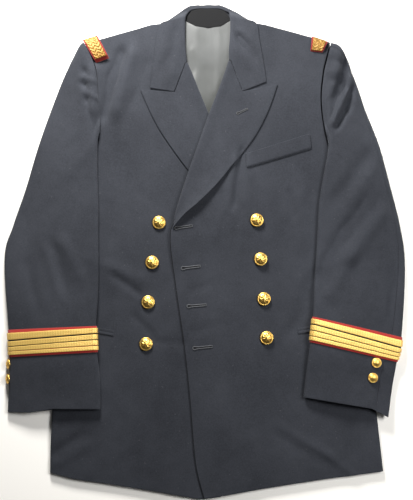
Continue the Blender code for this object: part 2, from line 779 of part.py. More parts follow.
def patch(corners, columns, rows, height):
    """Straight-sided strip between four corners, laid at a height."""
    a, b, c, d = corners

    def place(column, row):
        across = column / columns
        up = row / rows
        x = (a[0] * (1 - across) + b[0] * across) * (1 - up) + (d[0] * (1 - across) + c[0] * across) * up
        y = (a[1] * (1 - across) + b[1] * across) * (1 - up) + (d[1] * (1 - across) + c[1] * across) * up
        return x, y, height(x, y, across, up)

    return place


def between_lines(low, high, columns, rows, height):
    def place(column, row):
        across = column / columns
        up = row / rows
        start = on_line(low, across)
        end = on_line(high, across)
        x = start[0] + (end[0] - start[0]) * up
        y = start[1] + (end[1] - start[1]) * up
        return x, y, height(x, y, up)

    return place


def lining_place(column, row):
    """The lining of the back, from below the opening up to the neck seam."""
    left_x, right_x, y = along(LINING_ROWS, row / LINING_STEPS * (len(LINING_ROWS) - 1))
    x = left_x + (right_x - left_x) * column / LINING_STEPS
    if row == LINING_STEPS:
        x, y = on_line(NECK_SEAM, column / LINING_STEPS)
        y -= LINING_SEAM_ROOM
    return x, y, BACK_MID + neck_raise(x, y) + CLOTH / 2 + GAP + LINING / 2 + LINING_CLEAR


def button(name, radius, place_at, material, collection):
    def build(bm):
        previous = None
        verts = []
        for share, up in BUTTON_PROFILE:
            verts.append(bm.verts.new((radius * share, 0, radius * up)))
        edges = []
        for vert in verts:
            if previous is not None:
                edges.append(bm.edges.new((previous, vert)))
            previous = vert
        bmesh.ops.spin(bm, geom=verts + edges, cent=(0, 0, 0), axis=(0, 0, 1), dvec=(0, 0, 0),
                       angle=2 * math.pi, steps=BUTTON_SEGMENTS, use_merge=True, use_duplicate=False)
        bmesh.ops.remove_doubles(bm, verts=bm.verts, dist=0.001)
        bmesh.ops.transform(bm, matrix=place_at, verts=bm.verts)

    return store(name, build, material, collection)


def highest(height, x, y, radius):
    samples = [height(x, y)]
    for step in range(12):
        angle = step * math.pi / 6
        samples.append(height(x + radius * math.cos(angle), y + radius * math.sin(angle)))
    return max(samples)


def build_bands(label, tube, red, gold, collection):
    width = BAND_LAST_ROW - BAND_FIRST_ROW
    inside = CLOTH / 2 + GAP + BAND_INSIDE
    rows = (BAND_FIRST_ROW, BAND_FIRST_ROW + width / 2, BAND_LAST_ROW)
    ring("cuff_band_" + label, tube, rows, inside, LACE, red, collection)
    for number, (first, last) in enumerate(STRIPES, start=1):
        rows = (BAND_FIRST_ROW + width * first, BAND_FIRST_ROW + width * last)
        name = "cuff_stripe_%s_%d" % (label, number)
        ring(name, tube, rows, inside + LACE + GAP + STRIPE_ROOM, LACE, gold, collection)


def build_loops(red, gold, collection):
    """Each loop: red edging below gold lace, arched, with its upper end turned down."""
    for label, corners in LOOPS:
        middle = [sum(point[axis] for point in corners) / 4 for axis in (0, 1)]
        crown = max(highest(body_height, x, y, 6) for x, y in corners + (tuple(middle),))
        rise = crown + CLOTH / 2 + GAP + LACE / 2 + 0.1
        for kind, along_share, across_share, material, level in (
                ("loop_edging_", 1.0, 1.0, red, 0.0),
                ("loop_lace_", 0.93, 0.79, gold, LACE + 0.4)):
            def place(column, row, along_share=along_share, across_share=across_share, level=level):
                up = 0.5 + (LOOP_STEPS[row] - 0.5) * along_share
                side = 0.5 + (column / 2 - 0.5) * across_share
                a, b, c, d = corners
                x = (a[0] * (1 - side) + b[0] * side) * (1 - up) + (d[0] * (1 - side) + c[0] * side) * up
                y = (a[1] * (1 - side) + b[1] * side) * (1 - up) + (d[1] * (1 - side) + c[1] * side) * up
                turned = (1 - smooth_step(0.0, 0.18, up)) * LOOP_TURN
                return x, y, rise + LOOP_ARCH * math.sin(math.pi * up) + level - turned

            sheet(kind + label, 2, len(LOOP_STEPS) - 1, place, LACE, material, collection)


def build_buttons(tube_left, tube_right, brass, collection):
    for number, x, y in FRONT_BUTTONS:
        top = highest(body_height, x, y, BUTTON_RADIUS + 4) + CLOTH / 2 + GAP
        button("button_front_%d" % number, BUTTON_RADIUS, Matrix.Translation((x, y, top)), brass, collection)
    for number, x, y in CUFF_BUTTONS_TOP:
        top = sleeve_top(tube_left, x, y, CUFF_BUTTON_RADIUS) + GAP
        spot = Matrix.Translation((x, y, top))
        button("button_cuff_%d" % number, CUFF_BUTTON_RADIUS, spot, brass, collection)
    for number, y in CUFF_BUTTONS_EDGE:
        x = tube_right.table[9][2] - CUFF_BUTTON_INSET
        tilt = Matrix.Rotation(math.radians(CUFF_BUTTON_TILT), 4, "Y")
        spot = Matrix.Translation((x, y, CUFF_BUTTON_HEIGHT))
        button("button_cuff_%d" % number, CUFF_BUTTON_RADIUS, spot @ tilt, brass, collection)


def sleeve_top(tube, x, y, radius):
    """Highest point of the upper cloth within a radius of a place."""
    best = 0.0
    for row_step in range(61):
        row = 7 + 3 * row_step / 60
        for share_step in range(41):
            share = share_step / 40
            point = tube.point(row, share, True)
            if math.hypot(point[0] - x, point[1] - y) < radius + 1.5:
                best = max(best, point[2])
    return best + CLOTH / 2


def main():
    for thing in list(bpy.data.objects):
        bpy.data.objects.remove(thing, do_unlink=True)
    collection = bpy.data.collections.new("military_blazer")
    bpy.context.scene.collection.children.link(collection)
    cloth = make_material("navy_twill", NAVY, 0.85, 0.0)
    inner = make_material("collar_stand_cloth", NAVY_DARK, 0.85, 0.0)
    grey = make_material("grey_lining", GREY, 0.55, 0.0)
    gold = make_material("gold_lace", GOLD, 0.45, 0.35)
    red = make_material("red_felt", RED, 0.85, 0.0)
    brass = make_material("gilt_button", BRASS, 0.28, 1.0)

    back("back_right", BACK_RIGHT_ROWS, BACK_TOP_RIGHT, cloth, collection)
    back("back_left", BACK_LEFT_ROWS, BACK_TOP_LEFT, cloth, collection)
    front("front_right", FRONT_RIGHT_ROWS, HEM_RIGHT, SHOULDER_RIGHT, ground, cloth, collection)
    front("front_left", FRONT_LEFT_ROWS, HEM_LEFT, SHOULDER_LEFT, left_front_height, cloth, collection)

    place, columns = lapel_place(LAPEL_RIGHT_ROWS, NOTCH_RIGHT, LAPEL_COLUMNS, ground, 0.0)
    sheet("lapel_right", columns, LAPEL_ROW_COUNT, place, CLOTH, cloth, collection)
    place, columns = lapel_place(LAPEL_LEFT_ROWS, NOTCH_LEFT, LAPEL_COLUMNS, left_front_height, LAPEL_LIFT)
    sheet("lapel_left", columns, LAPEL_ROW_COUNT, place, CLOTH, cloth, collection)

    place, columns = collar_place(COLLAR_COLUMNS)
    sheet("collar_fall", columns, COLLAR_ROW_COUNT, place, CLOTH, cloth, collection)
    place = between_lines(NECK_SEAM, STAND_TOP, 12, 3,
                          lambda x, y, up: BACK_MID + neck_raise(x, y) + STAND_RISE - STAND_FALL * up)
    sheet("collar_stand", 12, 3, place, CLOTH, inner, collection)
    sheet("back_lining", LINING_STEPS, LINING_STEPS, lining_place, LINING, grey, collection)

    place = patch(WELT, 9, 2, lambda x, y, across, up: left_front_height(x, y) + CLOTH + GAP + WELT_RISE)
    sheet("breast_welt", 9, 2, place, CLOTH, cloth, collection)
    for name, x0, y0, x1, y1 in JETS:
        half = JET_WIDTH / 2
        corners = ((x0, y0 + half), (x1, y1 + half), (x1, y1 - half), (x0, y0 - half))
        place = patch(corners, 6, 1, lambda x, y, across, up: body_height(x, y) + CLOTH / 2 + GAP + 0.5)
        sheet(name, 6, 1, place, LACE, cloth, collection)

    tube_right = Sleeve(SLEEVE_RIGHT_ROWS, FRONT_RIGHT_ROWS, BACK_RIGHT_ROWS, CUFF_RIGHT, 8.9, 2.5, False)
    tube_left = Sleeve(SLEEVE_LEFT_ROWS, FRONT_LEFT_ROWS, BACK_LEFT_ROWS, CUFF_LEFT, 8.7, 8.7, True)
    build_sleeve("right", tube_right, cloth, collection)
    build_sleeve("left", tube_left, cloth, collection)
    build_bands("right", tube_right, red, gold, collection)
    build_bands("left", tube_left, red, gold, collection)
    build_loops(red, gold, collection)
    build_buttons(tube_left, tube_right, brass, collection)


if __name__ == "__main__":
    main()
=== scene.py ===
"""A military blazer laid flat on its back, open, with its sleeves on its sides.

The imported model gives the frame. Every piece here lies where its solid lies, so
the sizes below are the sizes of that model, in millimetres, and each finished
mesh is scaled to metres in one place.
"""

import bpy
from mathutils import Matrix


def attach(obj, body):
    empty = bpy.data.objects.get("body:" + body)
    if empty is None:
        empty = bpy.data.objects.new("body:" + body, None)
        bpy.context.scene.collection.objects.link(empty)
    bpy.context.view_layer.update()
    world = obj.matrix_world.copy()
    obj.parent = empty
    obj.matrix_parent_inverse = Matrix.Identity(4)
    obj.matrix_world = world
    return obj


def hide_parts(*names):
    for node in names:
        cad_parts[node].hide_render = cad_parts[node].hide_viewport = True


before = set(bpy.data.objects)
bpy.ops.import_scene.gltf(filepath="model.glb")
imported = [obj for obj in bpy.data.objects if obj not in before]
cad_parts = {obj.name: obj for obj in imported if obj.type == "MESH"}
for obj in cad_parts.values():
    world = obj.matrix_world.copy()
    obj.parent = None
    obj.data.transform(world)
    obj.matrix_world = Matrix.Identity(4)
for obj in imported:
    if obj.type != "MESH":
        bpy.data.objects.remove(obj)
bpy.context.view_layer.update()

import logging
import math
from dataclasses import dataclass, field
from enum import Enum
from typing import Any, Callable, List, Optional, Sequence, Tuple

import bmesh
import bpy
from mathutils import Matrix, Vector

LOG = logging.getLogger("blazer")

Spot = Tuple[float, float]
Point = Tuple[float, float, float]
Row = Tuple[float, ...]
Place = Callable[[int, int], Point]

MM = 0.001
PICTURE_MIDDLE_Y = 10.0
CLOTH = 1.6
LINING = 1.0
LACE = 1.0
GAP = 0.3
LAYER = 2.2
BACK_MID = 0.8
FRONT_MID = 6.0
CHEST_RISE = 2.6
NECK_RAISE = 2.3
OVER_LAPEL = 3.5
FOLD_RADIUS = 6.0
LOWEST_FRONT = 2.8
ROLL_RADIUS = 3.0
ROLL_BULGE = 1.2
ROLL_INSET = 4.6
PANEL_LENGTH = 760.0
EDGE_STEPS = (0.0, 0.12, 0.35, 0.8, 1.5, 2.4, 3.5, 4.7, 6.0)
NAVY_SLOT = "navy_twill"
# Body's middle between the fronts, and where the cloth lifts over the collar: y, distance from the middle
MIDDLE_X = 6.0
NECK_LIFT_Y = (300, 350)
NECK_LIFT_X = (92, 125)
# Chest: x of both crowns, their y, and their half width and half length
CHEST_XS = (-100, 115)
CHEST_Y = 200
CHEST_HALF_WIDTH = 75
CHEST_HALF_LENGTH = 120
# Left front over the right one: distance beside the edge where it sinks, and y where the lapel adds
OVERLAP_FADE = (12, 80)
OVERLAP_LAPEL_Y = (-55, 30)
# Steps across and up of the smaller pieces
STAND_GRID = (60, 12)
LINING_GRID = (46, 60)
WELT_GRID = (72, 18)
JET_GRID = (64, 12)
LOOP_FELT_GRID = (16, 32)
LOOP_LACE_GRID = (30, 60)
RING_STEPS = 40


class Side(Enum):
    """The wearer's right or left."""

    RIGHT = "right"
    LEFT = "left"

    @property
    def way(self) -> int:
        """Sign of x from the middle toward this side."""
        return -1 if self is Side.RIGHT else 1

    def pick(self, right: Any, left: Any) -> Any:
        """Choose what belongs to this side."""
        return right if self is Side.RIGHT else left


# Main creases of the body: x0, y0, x1, y1, height, width
BODY_CREASES = (
    (-186, 300, -186, 240, 8.0, 12),
    (-140, 332, -154, 296, -6.5, 9),
    (-154, 290, -167, 232, -6.5, 8),
    (-124, 330, -146, 240, 6.5, 12),
    (-98, 316, -120, 250, -1.8, 8),
    (-146, -42, -108, -68, -2.8, 5),
    (-160, -24, -104, -46, 1.8, 8),
    (-84, -149, -34, -150, -1.6, 4),
    (-113, -108, -86, -136, -1.9, 6),
    (61, 166, 50, 80, -3.0, 5),
    (49, 150, 36, 70, 1.8, 6),
    (72, 140, 66, 84, 1.2, 7),
    (115, 72, 130, 4, -1.8, 10),
    (141, 96, 147, 60, -2.4, 5),
    (160, 96, 164, 20, 2.0, 9),
    (178, -44, 150, -116, -3.4, 12),
    (126, -286, 198, -328, 1.7, 6),
    (198, -328, 247, -366, 1.3, 6),
    (118, -298, 190, -342, -0.9, 8),
    (-242, -326, -198, -298, -2.0, 7),
    (-230, -340, -190, -314, 1.3, 7),
    (8, -56, -22, -66, -1.4, 6),
    (20, -120, -16, -132, -1.2, 6),
)
# Main creases of the sleeves: x0, y0, x1, y1, height, width
SLEEVE_CREASES = (
    (270, 158, 222, 90, -3.4, 13),
    (292, 156, 246, 88, 2.2, 11),
    (272, 80, 232, 30, -6.4, 11),
    (232, 30, 200, -17, -6.4, 10),
    (200, -17, 192, -51, -4.2, 8),
    (292, 62, 240, -8, 3.4, 12),
    (240, -8, 212, -60, 2.8, 10),
    (-176, 180, -226, 130, 1.6, 12),
    (-228, 12, -204, -40, 2.8, 10),
    (-246, 4, -226, -62, -2.8, 8),
    (-258, 0, -238, -62, 2.2, 8),
    (-300, 60, -282, -60, -1.6, 10),
)
# Creases of the sleeve heads, over the join with the body
HEAD_CREASES = (
    (232, 312, 214, 232, 2.6, 20),
    (240, 324, 229, 277, -9.5, 8),
    (229, 277, 206, 230, -10.5, 8),
    (249, 300, 236, 268, 3.6, 4.6),
    (236, 268, 212, 215, 4.2, 4.6),
    (246, 270, 238, 240, -6.0, 5.5),
    (238, 240, 222, 210, -6.6, 5),
    (213, 322, 229, 317, -2.8, 5),
    (200, 287, 216, 287, -2.8, 5),
    (206, 304, 222, 302, 1.6, 5),
    (-201, 303, -181, 296, -3.4, 4.6),
    (-201, 280, -178, 271, -5.0, 4.6),
    (-194, 252, -176, 242, -4.0, 4.6),
    (-202, 291, -183, 284, 2.2, 4.6),
    (-198, 266, -180, 256, 2.6, 4.6),
    (-214, 318, -206, 262, 2.0, 8),
)
# Smaller creases of the fronts
FRONT_DETAILS = (
    (-112, 118, -110, -58, 0.42, 5),
    (-78, -92, -40, -70, 0.59, 7),
    (-190, -140, -150, -90, 0.85, 10),
    (60, 150, 52, 85, -0.85, 6),
    (76, 118, 70, 60, 0.59, 7),
    (120, 20, 175, 95, -0.68, 9),
    (100, -150, 150, -95, 0.77, 9),
    (105, -175, 130, -230, -0.59, 10),
    (30, -330, 75, -300, 0.68, 10),
    (-60, -345, -20, -318, 0.68, 9),
    (-150, -352, -120, -330, -0.59, 9),
    (210, -352, 235, -322, -0.68, 10),
    (-165, -215, -120, -265, 0.59, 12),
    (-232, -300, -190, -262, 0.68, 10),
    (-95, 300, -140, 262, 0.59, 9),
    (130, 330, 160, 250, -0.68, 12),
    (-140, 90, -150, 20, -0.59, 9),
    (150, 205, 165, 150, 0.59, 10),
)
# Seams that sink into the fronts: x0, y0, x1, y1, height, width
FRONT_SEAMS = (
    (142, 92, 148, 40, -0.7, 1.8),
    (148, 40, 153, -6, -0.7, 1.8),
    (153, -6, 161, -52, -0.55, 1.8),
    (161, -52, 167, -122, -0.45, 1.9),
    (-152, 80, -151, -128, -0.45, 1.9),
)
# Smaller creases of the sleeves
SLEEVE_DETAILS = (
    (-292, -20, -268, -96, -1.36, 8),
    (-300, 40, -290, -40, 1.02, 8),
    (-222, 92, -262, 30, 0.85, 11),
    (-190, -30, -188, -120, -0.85, 8),
    (-210, -200, -208, -250, -0.59, 6),
    (-262, -190, -258, -250, -0.51, 7),
    (-300, -205, -285, -250, 0.51, 6),
    (-240, 150, -262, 90, 0.85, 12),
    (230, 130, 222, 70, 1.02, 13),
    (276, 130, 300, 40, 1.19, 12),
    (300, -40, 306, -120, -1.53, 7),
    (312, -30, 318, -110, 1.02, 5),
    (212, -20, 205, -100, -1.02, 9),
    (262, -30, 250, -110, 1.02, 12),
    (200, -190, 192, -240, -0.59, 7),
    (232, -195, 224, -245, 0.59, 8),
    (262, -200, 258, -250, -0.51, 6),
    (190, -80, 204, -92, -2.21, 7),
    (315, -43, 302, -100, -2.72, 6),
)

# Front edge and roll line with the side and armhole: inner x, y, outer x, y
FRONT_RIGHT_ROWS = (
    (26, -394, -247, -356),
    (32, -330, -247, -300),
    (42, -240, -244, -220),
    (51, -150, -237, -140),
    (60, -60, -231, -60),
    (68, 26, -234, 30),
    (53, 78, -238, 95),
    (38, 127, -206, 112),
    (23, 175, -183, 150),
    (8, 226, -174.5, 205),
    (-7, 264, -177, 256),
    (-25, 303, -180, 300),
    (-35, 345, -189, 328),
    (-40, 386, -202, 352),
)
FRONT_LEFT_ROWS = (
    (-1, -396, 286, -354),
    (-15, -340, 283, -320),
    (-24, -240, 275, -235),
    (-34, -150, 266, -145),
    (-47, -62, 261, -70),
    (-57, 26, 265, 30),
    (-43, 80, 268, 103),
    (-27, 130, 238, 120),
    (-11, 176, 213, 152),
    (7, 227, 199, 205),
    (21, 264, 194, 256),
    (36, 303, 198, 300),
    (46, 345, 204, 326),
    (51, 387, 212, 354.5),
)
HEM_RIGHT = ((26, -394), (-7, -397.5), (-47, -391), (-87, -384), (-147, -374.5),
             (-208, -366), (-247, -356))
HEM_LEFT = ((-1, -396), (8, -396), (73, -384.5), (133, -375), (193, -366),
            (240, -360), (286, -354))
SHOULDER_RIGHT = ((-40, 386), (-60, 387.5), (-74, 386), (-87, 384.6), (-108, 379), (-141, 369.8),
                  (-175, 360), (-202, 352))
SHOULDER_LEFT = ((51, 387), (72, 388), (86, 387), (99, 384.8), (130, 377.3), (175, 364.7), (198, 358.5),
                 (205, 357), (212, 354.5))

# Centre back seam with the side and the back of the armhole: inner x, y, outer x, y
BACK_RIGHT_ROWS = (
    (17, -386, -245.5, -354),
    (15, -250, -243.5, -230),
    (12, -120, -235, -120),
    (9, 0, -231, -10),
    (7, 90, -236, 94),
    (6, 190, -222, 150),
    (6, 260, -207, 215),
    (6, 320, -202, 285),
    (6, 379, -201, 350),
)
BACK_LEFT_ROWS = (
    (17, -386, 284.5, -352),
    (15, -250, 275, -235),
    (12, -120, 264.5, -125),
    (9, 0, 263, 0),
    (7, 90, 266, 102),
    (6, 190, 252, 155),
    (6, 260, 237, 215),
    (6, 320, 224, 285),
    (6, 379, 211, 346.5),
)
BACK_TOP_RIGHT = ((6, 379), (-15, 382), (-34, 391), (-75, 376.8), (-87, 378.6), (-108, 374.5), (-141, 366),
                  (-175, 358), (-201, 350))
BACK_TOP_LEFT = ((6, 379), (27, 382), (46, 392), (86, 378.2), (99, 380), (130, 373.5), (175, 360),
                 (211, 346.5))

# Inner and outer fold of each sleeve: inner x, y, outer x, y
SLEEVE_RIGHT_ROWS = (
    (-174, 200, -202.4, 352),
    (-176, 165, -229.5, 308),
    (-176, 120, -253.5, 245),
    (-175, 75, -276.5, 175),
    (-175, 30, -295.5, 105),
    (-174, -20, -315.5, 42),
    (-174, -72, -328, -10),
    (-176, -122, -318, -128),
    (-174, -164, -315, -172),
    (-169, -209, -316, -215),
    (-168, -255, -317, -260),
)
SLEEVE_LEFT_ROWS = (
    (204, 190, 212.3, 351.3),
    (203, 165, 246.5, 302),
    (197, 130, 267.5, 240),
    (190, 85, 289.5, 180),
    (187, 40, 306.5, 112),
    (184, -5, 322, 43),
    (180, -58, 328.5, -22),
    (177, -107, 319.5, -140),
    (172, -148, 311, -180),
    (166, -190, 303.5, -218),
    (160, -236, 295, -268),
)
CUFF_RIGHT = ((-168, -255), (-243, -255.5), (-277, -262), (-316, -262))
CUFF_LEFT = ((160, -236), (270, -257.5), (277, -262.5), (295, -272))

# Roll line and outer edge of each lapel: roll x, y, edge x, y
LAPEL_RIGHT_ROWS = (
    (61, 54, 64, 38),
    (54, 76, 44, 60),
    (44, 108, 19, 82),
    (32, 146, -8, 112),
    (20, 186, -31, 141),
    (8, 226, -53, 171),
    (-7, 264, -75, 204),
    (-18, 292, -92, 237),
    (-29, 319, -107, 272),
)
LAPEL_LEFT_ROWS = (
    (-50, 53, -52.5, 37),
    (-43, 78, -34, 59),
    (-33, 110, -8, 82),
    (-21, 146, 20, 111),
    (-7, 186, 45, 142),
    (7, 227, 66, 168),
    (21, 264, 88, 200),
    (31, 292, 107, 238),
    (41, 322, 122, 281),
)
NOTCH_RIGHT = (-50, 268)
NOTCH_LEFT = (63, 269)

# Leaf of the collar, from the right end round the back: roll x, y, silhouette x, y,
# edge x, y, share of the leaf that lies on top
COLLAR_ROWS = (
    (-30, 320.5, -91, 275, -91, 275, 1.00),
    (-32, 338, -88, 296, -88, 296, 1.00),
    (-33, 358, -85, 323, -85, 323, 1.00),
    (-33, 378, -81, 356, -81, 356, 1.00),
    (-33, 391, -76, 384, -76, 384, 1.00),
    (-32, 400, -63, 391, -70, 376, 0.72),
    (-29, 408, -46, 405, -54, 364, 0.38),
    (-23, 414.5, -28, 418, -31, 358, 0.17),
    (-10, 417, -11, 421, -13, 356, 0.07),
    (6, 417, 6, 421, 6, 355, 0.07),
    (23, 417, 24, 421, 26, 356, 0.07),
    (33, 414, 37.5, 416, 41, 358, 0.15),
    (42, 409, 57, 406, 64, 364, 0.38),
    (43.5, 400, 74, 393, 81, 377, 0.72),
    (44, 391, 88, 386, 88, 386, 1.00),
    (44, 378, 92, 360, 92, 360, 1.00),
    (43, 358, 97, 330, 97, 330, 1.00),
    (41.5, 340, 101, 306, 101, 306, 1.00),
    (42, 323.5, 103, 286, 103, 286, 1.00),
)
COLLAR_CORNER_RIGHT = ((-30, 320.5), (-51, 269.2), (-91, 275))
COLLAR_CORNER_LEFT = ((42, 323.5), (64.2, 270.2), (103, 286))
# Soft dents and ridges of the collar and the upper lapels
COLLAR_CREASES = (
    (-48, 372, -54, 322, -2.08, 8),
    (-66, 372, -70, 330, 1.12, 8),
    (-62, 330, -78, 300, -0.8, 7),
    (48, 372, 62, 352, -1.92, 6),
    (62, 360, 84, 330, -2.4, 8),
    (60, 372, 74, 362, 1.6, 6),
    (54, 340, 88, 300, 1.28, 9),
    (-40, 345, -60, 290, 0.8, 8),
)
NECK_SEAM = ((-33, 393), (-15, 383.2), (6, 380.2), (27, 383.2), (45, 394))
STAND_TOP = ((-28, 402), (-22, 410.5), (-10, 413.6), (6, 413.6), (23, 413.6), (34, 410.5), (40, 403))
# Lining of the back where the neck shows it: left x, right x, y
LINING_ROWS = ((-12, 26, 212), (-44, 56, 275), (-54, 66, 330), (-48, 60, 362), (-33, 45, 392))
LINING_CREASES = (
    (-14, 372, -6, 250, 0.5, 6),
    (8, 378, 10, 260, -0.5, 7),
    (26, 374, 22, 270, 0.45, 5),
    (-32, 376, -26, 300, -0.4, 6),
    (-34, 352, -22, 312, -2.4, 6),
    (30, 388, 46, 350, -1.8, 7),
    (46, 320, 28, 262, -1.6, 6),
    (-22, 340, -14, 290, 0.9, 4),
)

WELT = ((68.5, 163), (175, 197), (178, 171), (70, 138))
# Jets: side, inner x, y, outer x, y
JETS = ((Side.RIGHT, -148, -133.5, -222, -120), (Side.LEFT, 152, -130, 246, -115))
JET_WIDTH = 9.0
# Four corners of each shoulder loop's lace
LOOP_RIGHT = ((-205, 357), (-180.5, 365), (-160, 326), (-182, 318))
LOOP_LEFT = ((181, 365.5), (208, 356), (198, 336), (178, 337.5))
# Front buttons: number, x, y; the first four on the right front
FRONT_BUTTONS = (
    (1, -75, 48), (2, -86, -18), (3, -92, -83), (4, -95, -151),
    (5, 86, 51), (6, 92, -13), (7, 97, -78), (8, 101, -141),
)
CUFF_BUTTONS_TOP = ((1, 277, -181), (2, 271, -205))
CUFF_BUTTONS_EDGE = ((3, -183), (4, -207))
# Buttonholes of the left front: inner x, y, outer x, y
BUTTONHOLES = (
    (-49, 38, -20, 42),
    (-38, -28, -7, -24),
    (-28.5, -90, 2.6, -87.5),
    (-19, -158, 12.6, -155),
)
LAPEL_BUTTONHOLE = (53.5, 230, 72, 239)
# Navy wool: colour in its troughs and on its high spots
NAVY = ((0.0095, 0.0108, 0.0145, 1), (0.036, 0.039, 0.048, 1))
# Stripes of the cuff band: first and last share of the band's width
STRIPES = ((0.07, 0.255), (0.305, 0.50), (0.535, 0.735), (0.765, 0.915))
# Cut of each stripe: width in metres and area in square metres
STRIPE_CUTS = ((0.0125, 0.0032), (0.010, 0.0027), (0.010, 0.0025), (0.010, 0.0020))


def smooth_step(low: float, high: float, value: float) -> float:
    """Ease from 0 to 1.

    Args:
        low: Value where the result is 0.
        high: Value where the result is 1.
        value: Value to ease.

    Returns:
        The eased share.
    """
    share = min(max((value - low) / (high - low), 0.0), 1.0)
    return share * share * (3 - 2 * share)


def along(rows: Sequence[Row], position: float) -> List[float]:
    """Read a table smoothly between its rows.

    Args:
        rows: Table whose rows follow each other along a piece.
        position: Place in the table, counted in rows.

    Returns:
        The columns at that place.
    """
    last = len(rows) - 1
    position = min(max(position, 0.0), float(last))
    index = min(int(position), last - 1)
    share = position - index
    before = rows[max(index - 1, 0)]
    start = rows[index]
    end = rows[index + 1]
    after = rows[min(index + 2, last)]
    square = share * share
    cube = square * share
    values = []
    for a, b, c, d in zip(before, start, end, after):
        values.append((2 * cube - 3 * square + 1) * b + (cube - 2 * square + share) * (c - a) / 2
                      + (3 * square - 2 * cube) * c + (cube - square) * (d - b) / 2)
    return values


def between(start: Row, end: Row, share: float) -> Spot:
    """Find the point at a share of the way from one point to another."""
    return start[0] + (end[0] - start[0]) * share, start[1] + (end[1] - start[1]) * share


def on_line(points: Sequence[Spot], share: float) -> Spot:
    """Find a point of a polyline.

    Args:
        points: Corners of the line.
        share: Share of its length.

    Returns:
        The point there.
    """
    lengths = [math.dist(a, b) for a, b in zip(points, points[1:])]
    left = share * sum(lengths)
    for start, end, length in zip(points, points[1:], lengths):
        if left <= length or end is points[-1]:
            return between(start, end, min(left / length, 1.0))
        left -= length
    return points[-1]


def shifted(spot: Spot, bent: Spot, start: Spot, end: Spot, across: float, weight: float) -> Spot:
    """Move a point of a straight row as the row bends between its ends.

    Args:
        spot: Point to move.
        bent: Point of the bent line at the same share.
        start: First end of the bent line.
        end: Last end of the bent line.
        across: Point's share of the row.
        weight: How far the row follows the line.

    Returns:
        The moved point.
    """
    flat = between(start, end, across)
    return spot[0] + weight * (bent[0] - flat[0]), spot[1] + weight * (bent[1] - flat[1])


def follow(spot: Spot, line: Sequence[Spot], across: float, weight: float) -> Spot:
    """Move a point of a straight row toward a curved line with the same ends."""
    return shifted(spot, on_line(line, across), line[0], line[-1], across, weight)


def bend(spot: Spot, line: Sequence[Spot], across: float, weight: float) -> Spot:
    """Move a point of a straight row toward a line that turns at its middle.

    Args:
        spot: Point to move.
        line: Start, corner and end of the line.
        across: Point's share of the row.
        weight: How far the row follows the line.

    Returns:
        The moved point.
    """
    start, corner, end = line
    if across <= 0.5:
        bent = between(start, corner, across * 2)
    else:
        bent = between(corner, end, across * 2 - 1)
    return shifted(spot, bent, start, end, across, weight)


def table_x(rows: Sequence[Row], y: float, x_column: int, y_column: int) -> float:
    """Find a boundary of a table at a height of the picture plane.

    Args:
        rows: Table of the piece.
        y: Height up the garment.
        x_column: Column with the boundary's x.
        y_column: Column with the boundary's y.

    Returns:
        The boundary's x.
    """
    for low, high in zip(rows, rows[1:]):
        if low[y_column] <= y <= high[y_column] and high[y_column] > low[y_column]:
            share = (y - low[y_column]) / (high[y_column] - low[y_column])
            return low[x_column] + (high[x_column] - low[x_column]) * share
    return rows[0][x_column] if y < rows[0][y_column] else rows[-1][x_column]


def round_off(distance: float) -> float:
    """Give the share of the full height near a fold.

    Args:
        distance: Distance from the fold.

    Returns:
        Share from 0 at the fold to 1.
    """
    share = min(max(distance / FOLD_RADIUS, 0.0), 1.0)
    return (1 - (1 - share) ** 2.5) ** 0.4


def spaced(middle: int, width: float) -> List[float]:
    """Space columns evenly, and closely near the rounded far end.

    Args:
        middle: Number of even steps.
        width: Width that the shares divide.

    Returns:
        Shares of the width.
    """
    end = [1 - value / width for value in reversed(EDGE_STEPS)]
    return [end[0] * step / middle for step in range(middle)] + end


class CreaseField:
    """Soft troughs and ridges that lie over a piece."""

    def __init__(self, *tables: Sequence[Row]) -> None:
        """Prepare the creases.

        Args:
            tables: Tables of x0, y0, x1, y1, height and width.
        """
        self.rows = []
        for table in tables:
            for x0, y0, x1, y1, height, width in table:
                length = math.hypot(x1 - x0, y1 - y0)
                self.rows.append((x0, y0, (x1 - x0) / length, (y1 - y0) / length, length, height, width))

    def rise(self, x: float, y: float) -> float:
        """Add up the creases at a point.

        Args:
            x: Across the garment.
            y: Up the garment.

        Returns:
            Height above the plain surface.
        """
        total = 0.0
        for x0, y0, step_x, step_y, length, height, width in self.rows:
            side = (y - y0) * step_x - (x - x0) * step_y
            if abs(side) > 3 * width:
                continue
            run = (x - x0) * step_x + (y - y0) * step_y
            beyond = max(-run, run - length, 0.0)
            total += height * math.exp(-(side / width) ** 2 - (beyond / (1.6 * width)) ** 2)
        return total


